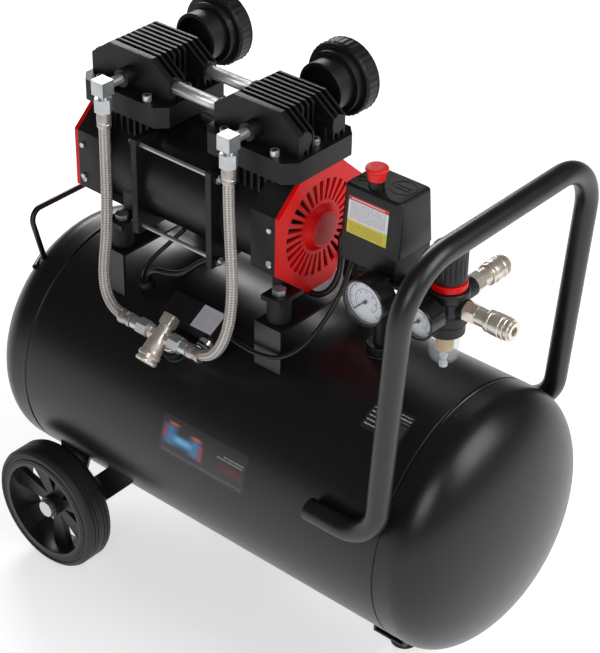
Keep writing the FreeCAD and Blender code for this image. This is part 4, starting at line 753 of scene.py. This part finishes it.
dressing = {    # node: finish, bevel in millimetres
    "tank_bosses": ("tankPaint", 1.0), "support_brackets": ("bracketPaint", 0.6),
    "carry_handle": ("bracketPaint", 0), "rear_bail": ("bracketPaint", 0),
    "mount_brackets": ("bracketPaint", 1.0), "rubber_foot": ("rubber", 1.0),
    "rubber_mounts": ("rubber", 1.6), "axle_bolts": ("zinc", 0.5), "mount_bolts": ("zinc", 0.5),
    "motor_housing": ("motorTube", 0.6), "crankcases": ("casting", 0.9), "fans": ("blackPlastic", 0),
    "fan_covers": ("redPlastic", 0.8), "valve_plates": ("casting", 0.4),
    "cylinder_heads": ("casting", 0.5), "pump_screws": ("zinc", 0.5),
    "crossover_tubes": ("bareAluminium", 0), "filter_housings": ("filterPlastic", 1.4),
    "hose_fittings": ("zinc", 0.5), "unloader_valve": ("blackPlastic", 1.0),
    "manifold": ("brassBlack", 0.5), "switch_base": ("blackPlastic", 1.2),
    "gauge_cases": ("gaugePlastic", 0.8), "gauge_dials": ("dialWhite", 0),
    "gauge_lenses": ("lensGlass", 0.3), "safety_valve": ("nickel", 0.4), "safety_ring": ("nickel", 0),
    "regulator_body": ("blackPlastic", 1.0), "couplers": ("nickel", 0.4), "drain_valve": ("nickel", 0.4),
    "drain_knob": ("blackPlastic", 0.6), "needle_tank": ("inkAndPaintedShade", 0), "needle_outlet": ("inkAndPaintedShade", 0),
    "bowl_drain": ("dialWhite", 0.3), "bowl_element": ("sinter", 0.5), "filter_elements": ("foam", 0.3),
    "tie_rods": ("zinc", 0.3),
}
dressedPieces = {node: dressed(node, finish, bevel) for node, (finish, bevel) in dressing.items()}
hidden = {"stator": "steel", "rotor": "steel", "bearings": "steel", "cylinder_sleeves": "bareAluminium",
          "piston_left": "bareAluminium", "piston_right": "bareAluminium"}
for node, finish in hidden.items():
    materials = frame["nodes"][node].data.materials
    materials.clear()
    materials.append(finishes[finish])

tieWide, tieTall, shaftRise = 62, 49, 265
tieMiddle, tieHalf, tieRadius = -94.5, 64, 2.9


def besideTieRods(c):
    # the blocks round the rods, between the pumps
    away = np.hypot(abs(c[:, 1]) - tieWide, abs(c[:, 2] - shaftRise) - tieTall)
    return (away > tieRadius) & (abs(c[:, 0] - tieMiddle) < tieHalf)


recolour(dressedPieces["tie_rods"], "casting", besideTieRods)
print("CAD pieces dressed:", len(dressing))

headPlaces = {"left": -183, "right": -6}
outwards = {"left": -1, "right": 1}
filterRise = 380
crimpPlaces = {"left": (-120, -103), "right": (-20, -3)}
ferrule = [(328.5, 6.5), (328.5, 7.5), (329.3, 7.9), (332, 7.9), (332.8, 7.3), (334.4, 7.3), (335.2, 7.9),
           (341, 7.9), (342, 7.5), (345.3, 7.5), (345.3, 6.5)]
for side, x in headPlaces.items():
    way = outwards[side]
    addTurned("coverDisc_" + side, [(way * 64.6, 17.2), (way * 65.3, 17.0), (way * 65.5, 16.2),
                                    (way * 65.6, 0)],
              (x, 0, shaftRise), "X", "frostedRed", "fan_covers", steps=64)
    addTurned("ferrule_" + side, ferrule, (x, -77, 0), "Z", "ferruleMetal", "hose_fittings", steps=48,
              closed=True)
    start, end = crimpPlaces[side]
    crimp = [(start, 6.5), (start, 7.6), (start + 1, 8), (start + 5, 8), (start + 6, 7.4), (end - 6, 7.4),
             (end - 5, 8), (end - 1, 8), (end, 7.6), (end, 6.5)]
    addTurned("crimp_" + side, crimp, (0, 0, valveRise), "X", "ferruleMetal", "hose_fittings", steps=48,
              closed=True, turn=valveTilt)
    for number, out in enumerate((-1, 1)):
        screw = [(0, 3.4), (out * 0.9, 3.4), (out * 1.7, 2.8), (out * 2.2, 1.6), (out * 1.2, 1.4),
                 (out * 1.2, 0)]
        addTurned("sideScrew_%s%d" % (side, number), screw, (x + way * 45, out * 66, 243), "Y", "zinc",
                  "pump_screws", steps=24)


def hexSockets():
    # painted shade for the six-sided socket on top of each cylinder head screw: a thin dark prism
    spots = [(x + sx * 34, sy * 46) for x in headPlaces.values() for sx in (-1, 1) for sy in (-1, 1)]
    spots += [(x + sx * 48, 0) for x in headPlaces.values() for sx in (-1, 1)]
    angle = np.arange(6) * pi / 3
    grids = []
    for x, y in spots:
        ring = np.stack([x + 2.7 * np.cos(angle), y + 2.7 * np.sin(angle)], -1)
        grids.append(np.stack([levelRow(ring, z) for z in (364.2, 365.15)]))
    mesh = gridMesh("headScrewSocketShades", [fromTankAxis(g) for g in grids], capped=True)
    return keep(finishMesh("headScrewSocketShades", mesh, "inkAndPaintedShade"), "pump_screws", replace=False)


def flangeSlots():
    # painted shade: thin dark plates for the upright slots on both sides of each crankcase's flange
    slot = roundedOutline(1.7, 11, 1.6, 5)
    places = [(x, shaftRise + rise) for x in (-148, -41) for rise in (-30, 2, 30)]
    for number, (x, z) in enumerate(places):
        for letter, out in (("a", -1), ("b", 1)):
            rows = [np.stack([x + slot[:, 0], np.full(len(slot), out * depth), z + slot[:, 1]], -1)
                    for depth in (69.9, 70.08)]
            mesh = gridMesh("flangeSlotShade", [fromTankAxis(np.array(rows))], capped=True)
            keep(finishMesh("flangeSlot_%d%s" % (number, letter), mesh, "inkAndPaintedShade"), "crankcases",
                 replace=False)


hexSockets()
flangeSlots()
coilBand = [(-28.8, 0), (-28.8, 6.8), (-28.2, 7.8), (-25.4, 8.2), (-25.2, 6.9), (-22.4, 6.9),
            (-22.2, 8.2), (-17.6, 8.2), (-17.4, 7.2), (-14.2, 7.2), (-14.2, 0)]
addTurned("coilBody", coilBand, (-16.5, 0, 172), "Y", "chrome", "unloader_valve", slot="nickel", steps=48,
          turn=coilTilt)


def checkValve():
    # turned pieces in the slanted plane: the tapering body, its end block, two side ports and the neck
    body = [(-33.4, 0), (-33.4, 10.6), (-33, 11.6), (-31.4, 12.6), (-29.4, 12.6), (-28.8, 11.3),
            (-26.6, 11.3), (-26, 12.8), (-21.8, 12.8), (-21, 11.2), (-17, 11.0), (-9, 10.4), (2, 8.6),
            (10, 7.7), (19, 7.4), (19, 0)]
    port = [(-77.7, 0), (-77.7, 7.2), (-77, 7.6), (-73.6, 7.6), (-73, 6.6), (-50, 6.6), (-49.4, 7.6),
            (-46, 7.6), (-45.3, 7.2), (-45.3, 0)]
    neck = [(158, 0), (158, 10.4), (166, 10.4), (167, 9.6), (184, 9.2), (186, 0)]
    pieces = [turned("valveBody", body, (valvePlace, 0, valveRise), "Y", "nickel", steps=72, soft=0.4,
                     turn=valveTilt),
              turned("valvePort", port, (0, 0, valveRise), "X", "nickel", steps=6, soft=0.3,
                     turn=valveTilt),
              turned("valveNeck", neck, (valvePlace, 0, 0), "Z", "nickel", steps=56, soft=0.4,
                     turn=valveTilt)]
    half, rows = 7.6, []
    for place, share in ((11, 0.80), (12, 0.97), (12.8, 1.0), (23.4, 1.0), (24.2, 0.96), (24.6, 0.86)):
        across = roundedOutline(half * share, half * share, 1.6 * share, 4)
        rows.append(np.stack([valvePlace + across[:, 0], np.full(len(across), place),
                              valveRise + across[:, 1]], -1))
    mesh = gridMesh("valveBlock", [fromTankAxis(np.array(rows), valveTilt)], capped=True)
    pieces.append(finishMesh("valveBlock", mesh, "nickel", 30))
    return keep(joined("checkValveSkin", pieces), "check_valve")


def filterRims():
    # rings round each intake filter's cap, with small grip ribs on the widest one
    def ribs(place, angle, radius):
        return np.where((place > 95) & (place < 111), 0.45 * np.clip(np.cos(angle * 36) * 3, 0, 1), 0)
    section = [(93.5, 38), (93.5, 40.4), (95.5, 41.2), (95.8, 40.6), (110.2, 40.6), (110.5, 41.2),
               (112.4, 40.6), (112.4, 38)]
    lip = [(63.4, 24.2), (63.2, 25), (63.2, 27.4), (64, 28.4), (67, 28.5), (67.4, 28), (67.4, 24.2)]
    for side, x in headPlaces.items():
        addTurned("filterRim_" + side, section, (x, 0, filterRise), "Y", "filterPlastic",
                  "filter_housings",
                  steps=216, closed=True, ripple=ribs)
        addTurned("filterLip_" + side, lip, (x, 0, filterRise), "Y", "filterPlastic", "filter_housings",
                  steps=72,
                  closed=True)


filterRims()
checkValve()
print("pump details made")

switch = {"place": (137, 0), "low": 286.0, "high": 348.0, "lowHalf": (37.0, 30.0),
          "highHalf": (35.5, 25.0), "corner": 5.5, "edge": 3.2, "knob": (131, -12), "bore": 5.7}


def switchCover():
    # rows from the rim up the tapering walls, round the top edge, then over the top to the knob's bore
    low, high, edge = switch["low"], switch["high"], switch["edge"]
    tall = high - low
    turn = np.linspace(0, pi / 2, 7)
    levels = [(low, 3.0), (low, 0.4), (low + 0.5, 0.0), (low + 20, 0.0), (low + 40, 0.0)]
    levels += [(high - edge + edge * sin(t), edge * (1 - cos(t))) for t in turn]
    rows = []
    for z, inset in levels:
        share = (z - low) / tall
        half = [a + (b - a) * share - inset for a, b in zip(switch["lowHalf"], switch["highHalf"])]
        outline = roundedOutline(*half, max(switch["corner"] - inset * 0.6, 1))
        rows.append(levelRow(outline + switch["place"], z))
    last = rows[-1]
    away = last[:, :2] - switch["knob"]
    bore = np.array(switch["knob"]) + away / np.linalg.norm(away, axis=1, keepdims=True) * switch["bore"]
    for share in (0.25, 0.5, 0.75, 1.0):
        flat = last[:, :2] + (bore - last[:, :2]) * share
        rows.append(levelRow(flat, high))
    rows.append(rows[-1] - (0, 0, 4))
    mesh = gridMesh("switchShell", [fromTankAxis(np.array(rows))])
    return keep(finishMesh("switchShell", mesh, "blackPlastic", 40), "switch_cover")


def raised(name, outline, low, high, finish, node, soft=0.3):
    # a closed outline raised from low to high, with a narrower top, as for moulded marks
    middle = outline.mean(axis=0)
    widest = np.abs(outline - middle).max()
    top = middle + (outline - middle) * (1 - soft / widest)
    rows = [levelRow(outline, low), levelRow(outline, high - soft), levelRow(top, high)]
    mesh = gridMesh(name, [fromTankAxis(np.array(rows))], capped=True)
    return keep(finishMesh(name, mesh, finish, 30), node, replace=False)


def frontFace(x, z):
    # a point on the switch cover's sloping front
    share = (z - switch["low"]) / (switch["high"] - switch["low"])
    half = switch["lowHalf"][1] + (switch["highHalf"][1] - switch["lowHalf"][1]) * share
    return switch["place"][0] + x, -half, z


switchCover()
addTurned("knobGuide", [(347, 5.6), (347, 8.3), (347.6, 8.1), (355.2, 7.9), (355.8, 7.4), (355.9, 5.6)],
          (*switch["knob"], 0), "Z", "blackPlastic", "switch_cover", steps=48, closed=True)
cap = [(370.6, 0), (370.9, 6), (370.6, 10.6), (369.8, 11.7), (368.6, 11.9), (366.6, 11.6), (365.8, 10.6),
       (365.4, 9.9), (357, 9.0), (356.4, 8.8), (356.4, 8.36), (363.2, 8.36), (363.2, 5.4), (340, 5.4),
       (340, 0)]
keep(turned("pullCap", cap, (*switch["knob"], 0), "Z", "knobRed", steps=64, soft=0.5), "switch_knob")
sticker("switchSticker", "sticker", [frontFace(-28, 296), frontFace(22, 296), frontFace(22, 336.5),
                                     frontFace(-28, 336.5)], "switch_cover")
addTurned("coverRing", [(347.8, 12.9), (348.5, 13.1), (348.5, 14), (347.8, 14.2)], (152.5, 4, 0), "Z",
          "blackPlastic", "switch_cover", steps=56, closed=True)
# x, y, half length and half width of each mark
coverMarks = [(152.5, 6.5, 8.5, 1.4), (152.5, 1.5, 8.5, 1.4), (110.5, -11.5, 5.5, 0.8),
              (110.5, -4, 5.5, 0.8), (105, -7.7, 0.8, 3.6), (116, -7.7, 0.8, 3.6)]
for number, (x, y, halfX, halfY) in enumerate(coverMarks):
    raised("coverMark%d" % number, roundedOutline(halfX, halfY, 0.7, 4) + (x, y), 347.5, 348.6,
           "blackPlastic", "switch_cover")
# a thin dark disc on the switch cover's top: painted shade for a small hole
addTurned("coverHoleShade", [(348.02, 2.9), (348.1, 2.9), (348.12, 0)], (139.5, 3, 0), "Z", "inkAndPaintedShade",
          "switch_cover",
          steps=24)
print("pressure switch made")

gauges = {    # place is x and height, dial is the y of the dial, size is the height of the numbers
    "tank": {"place": (157, 245), "dial": -54.0, "radius": 26, "numbers": (0, 2, 4, 6, 8, 10, 12),
             "size": 4.2},
    "outlet": {"place": (217, 245), "dial": -46.0, "radius": 20, "numbers": (0, 4, 8, 12), "size": 3.6},
}


def gaugeMarks(name, gauge):
    # ticks and two arcs over three quarters of a turn, from low left to low right, and the numbers inside
    (x, z), y, r = gauge["place"], gauge["dial"] - 0.12, gauge["radius"] - 3.4
    numbers = gauge["numbers"]
    points, faces = [], []

    def sweep(count):
        return np.radians(np.linspace(225, -45, count))

    def add(flat, cells):
        start = sum(len(p) for p in points)
        points.append(np.column_stack([flat[:, 0] + x, np.full(len(flat), y), flat[:, 1] + z]))
        faces.extend([[start + k for k in cell] for cell in cells])

    for arc, wide in ((0.93, 0.35), (0.60, 0.25)):
        angle = sweep(61)
        inner = np.stack([np.cos(angle), np.sin(angle)], -1) * (r * arc - wide)
        outer = np.stack([np.cos(angle), np.sin(angle)], -1) * (r * arc + wide)
        add(np.vstack([inner, outer]), [(k, k + 1, 61 + k + 1, 61 + k) for k in range(60)])
    count = (len(numbers) - 1) * 5
    for k, angle in enumerate(sweep(count + 1)):
        way, across = np.array([cos(angle), sin(angle)]), np.array([-sin(angle), cos(angle)])
        long, wide = (0.16, 0.42) if k % 5 == 0 else (0.09, 0.2)
        near, far = way * r * (0.92 - long), way * r * 0.92
        add(np.array([near - across * wide, far - across * wide, far + across * wide,
                      near + across * wide]),
            [(0, 1, 2, 3)])
    for text, angle in zip(numbers, sweep(len(numbers))):
        curve = bpy.data.curves.new("figure", "FONT")
        curve.body, curve.size = str(text), gauge["size"]
        curve.align_x = curve.align_y = "CENTER"
        figure, cells = curveMesh(curve)
        add(figure[:, :2] + np.array([cos(angle), sin(angle)]) * r * 0.48, cells)
    mesh = bpy.data.meshes.new(name)
    mesh.from_pydata(fromTankAxis(np.vstack(points)).tolist(), [], faces)
    mesh.materials.append(finishes["inkAndPaintedShade"])
    if sum(face.normal.y for face in mesh.polygons) > 0:
        mesh.flip_normals()
    return keep(linked(name, mesh), "gauge_dials", replace=False)


for name, gauge in gauges.items():
    gaugeMarks("dialMarks_" + name, gauge)
    (x, z), r, face = gauge["place"], gauge["radius"], gauge["dial"] - 6
    rim = [(face + 3.5, r + 0.1), (face + 0.6, r + 0.1), (face - 0.3, r - 0.7), (face - 0.3, r - 1.7),
           (face + 0.5, r - 2.6), (face + 3.5, r - 2.6)]
    addTurned("gaugeRim_" + name, rim, (x, 0, z), "Y", "gaugePlastic", "gauge_cases", steps=72, soft=0.5,
              closed=True)
print("gauges made")

regulator = {"place": (217, 0, 0), "pipe": (217, 0, 245), "ribs": 20}


def collarNotches(place, angle, radius):
    # twelve shallow notches round the body's narrow band
    return np.where((place > 238) & (place < 252), -0.8 * np.clip(np.cos(angle * 12) * 2, 0, 1), 0)


def knobRibs(place, angle, radius):
    # shallow valleys round the knob's side, fading out at both ends
    depth = np.clip((place - 277) / 3, 0, 1) * np.clip((306 - place) / 3, 0, 1) * (radius > 16)
    return -0.9 * depth * np.clip(np.cos(angle * regulator["ribs"]), 0, 1) ** 2


knobSection = [(272.4, 6.2), (272.4, 16.8), (273.4, 17.9), (275.5, 18.0)]
knobSection += [(z, 18.0) for z in np.linspace(276.5, 306.5, 12)]
knobSection += [(309.2, 17.9), (310.2, 17.0), (310.2, 14.0), (309.4, 13.3), (306.4, 13.0), (306.4, 5),
                (307.2, 4.2), (307.4, 0)]
knobPiece = turned("dialKnob", knobSection, regulator["place"], "Z", "blackPlastic", steps=160,
                   ripple=knobRibs)
knobStem = turned("dialStem", [(257.3, 0), (257.3, 5.85), (272.6, 5.85), (272.6, 0)], regulator["place"],
                  "Z", "blackPlastic", steps=40)
keep(joined("regulatorKnobSkin", [knobPiece, knobStem]), "regulator_knob")
lockRing = [(264.2, 13.2), (264.2, 18.6), (264.9, 19.2), (271, 19.4), (271.9, 18.8), (272, 13.2)]
keep(turned("lockRing", lockRing, regulator["place"], "Z", "redPlastic", steps=96, soft=0.4, closed=True),
     "regulator_ring")
collar = [(224, 19), (224, 21.6), (226, 22.4), (236, 22.4), (238, 21.4), (252, 21.4), (254, 22.2),
          (262, 22.2), (263.6, 21), (263.6, 19)]
addTurned("regulatorCollar", collar, regulator["place"], "Z", "blackPlastic", "regulator_body", steps=96,
          soft=0.6, closed=True, ripple=collarNotches)

bowl = [(212, 14.7), (212, 16.6), (207, 16.6), (206.4, 16.2), (186, 16.0), (181.5, 15.0), (178.3, 12.6),
        (176.4, 9), (176.0, 3.2), (178.2, 3.2), (179.2, 8.6), (181, 11.8), (184, 13.6), (188, 14.2),
        (200, 14.5)]
keep(turned("bowlGlass", bowl, regulator["place"], "Z", "clearBowl", steps=72, soft=1.0, closed=True),
     "filter_bowl")

sleeveSection = [(26.2, 9.65), (26.2, 10.9), (27.0, 11.6), (30.4, 11.7), (31.0, 10.9), (32.6, 10.9),
                 (33.2, 12.0), (43.6, 12.2), (44.2, 11.3), (45.6, 11.3), (46.2, 12.1), (48.6, 12.0),
                 (49.6, 11.2), (49.6, 9.65)]


def knurl(start):
    # fine ridges round the sleeve's widest band
    def ridges(place, angle, radius):
        inside = (place > start + 34) & (place < start + 43) & (radius > 11)
        return np.where(inside, -0.22 * np.clip(np.cos(angle * 40) * 1.5, 0, 1), 0)
    return ridges


for node, axis, start in (("sleeve_back", "Y", 39), ("sleeve_end", "X", 24)):
    section = [(place + start, radius) for place, radius in sleeveSection]
    keep(turned(node + "Skin", section, regulator["pipe"], axis, "nickel", steps=160, soft=0.4,
                closed=True,
                ripple=knurl(start)), node)
print("regulator and couplers made")

floorHalf = 6.0
floorGrid = np.array([[(-floorHalf, -floorHalf, -0.0004), (floorHalf, -floorHalf, -0.0004)],
                      [(-floorHalf, floorHalf, -0.0004), (floorHalf, floorHalf, -0.0004)]])
floor = finishMesh("studioFloor", gridMesh("studioFloor", [floorGrid], around=False), "paleFloor")
if floor.data.polygons[0].normal.z < 0:
    floor.data.flip_normals()
glow = finishes["paleFloor"].node_tree.nodes["Principled BSDF"]
glow.inputs["Emission Color"].default_value = (1, 1, 1, 1)
glow.inputs["Emission Strength"].default_value = 0.55

lights = {    # place and aim in metres, size in metres, power in watts
    "rightHigh": ((2.3, 0.5, 2.2), (0.1, 0, 0.3), (1.8, 1.8), 52),
    "front": ((1.6, -2.7, 2.2), (0, 0, 0.3), (1.6, 1.4), 34),
    "leftBack": ((-1.9, 1.4, 1.5), (-0.1, 0, 0.4), (1.2, 0.8), 26),
}
for name, (place, aim, size, power) in lights.items():
    data = bpy.data.lights.new(name, "AREA")
    data.shape = "RECTANGLE"
    data.size, data.size_y = size
    data.energy = power
    lamp = linked(name, data)
    way = Vector(place) - Vector(aim)
    lamp.matrix_world = Matrix.Translation(place) @ way.to_track_quat("Z", "Y").to_matrix().to_4x4()


def studioWorld():
    # a pale band round the horizon that fades to a dim ceiling, by the height of the direction
    world = bpy.data.worlds.new("studio")
    world.use_nodes = True
    tree = world.node_tree
    height = separated(tree, addNode(tree, "TexCoord").outputs["Generated"])["Z"]
    ramp = addNode(tree, "MapRange")
    for socket, value in (("From Min", 0.0), ("From Max", 0.12), ("To Min", 0.34), ("To Max", 0.07)):
        ramp.inputs[socket].default_value = value
    tree.links.new(height, ramp.inputs["Value"])
    tree.links.new(ramp.outputs["Result"], tree.nodes["Background"].inputs["Strength"])
    tree.nodes["Background"].inputs["Color"].default_value = (1, 1, 1, 1)
    scene.world = world


studioWorld()
scene.view_settings.view_transform = "Standard"
print("floor and light set")
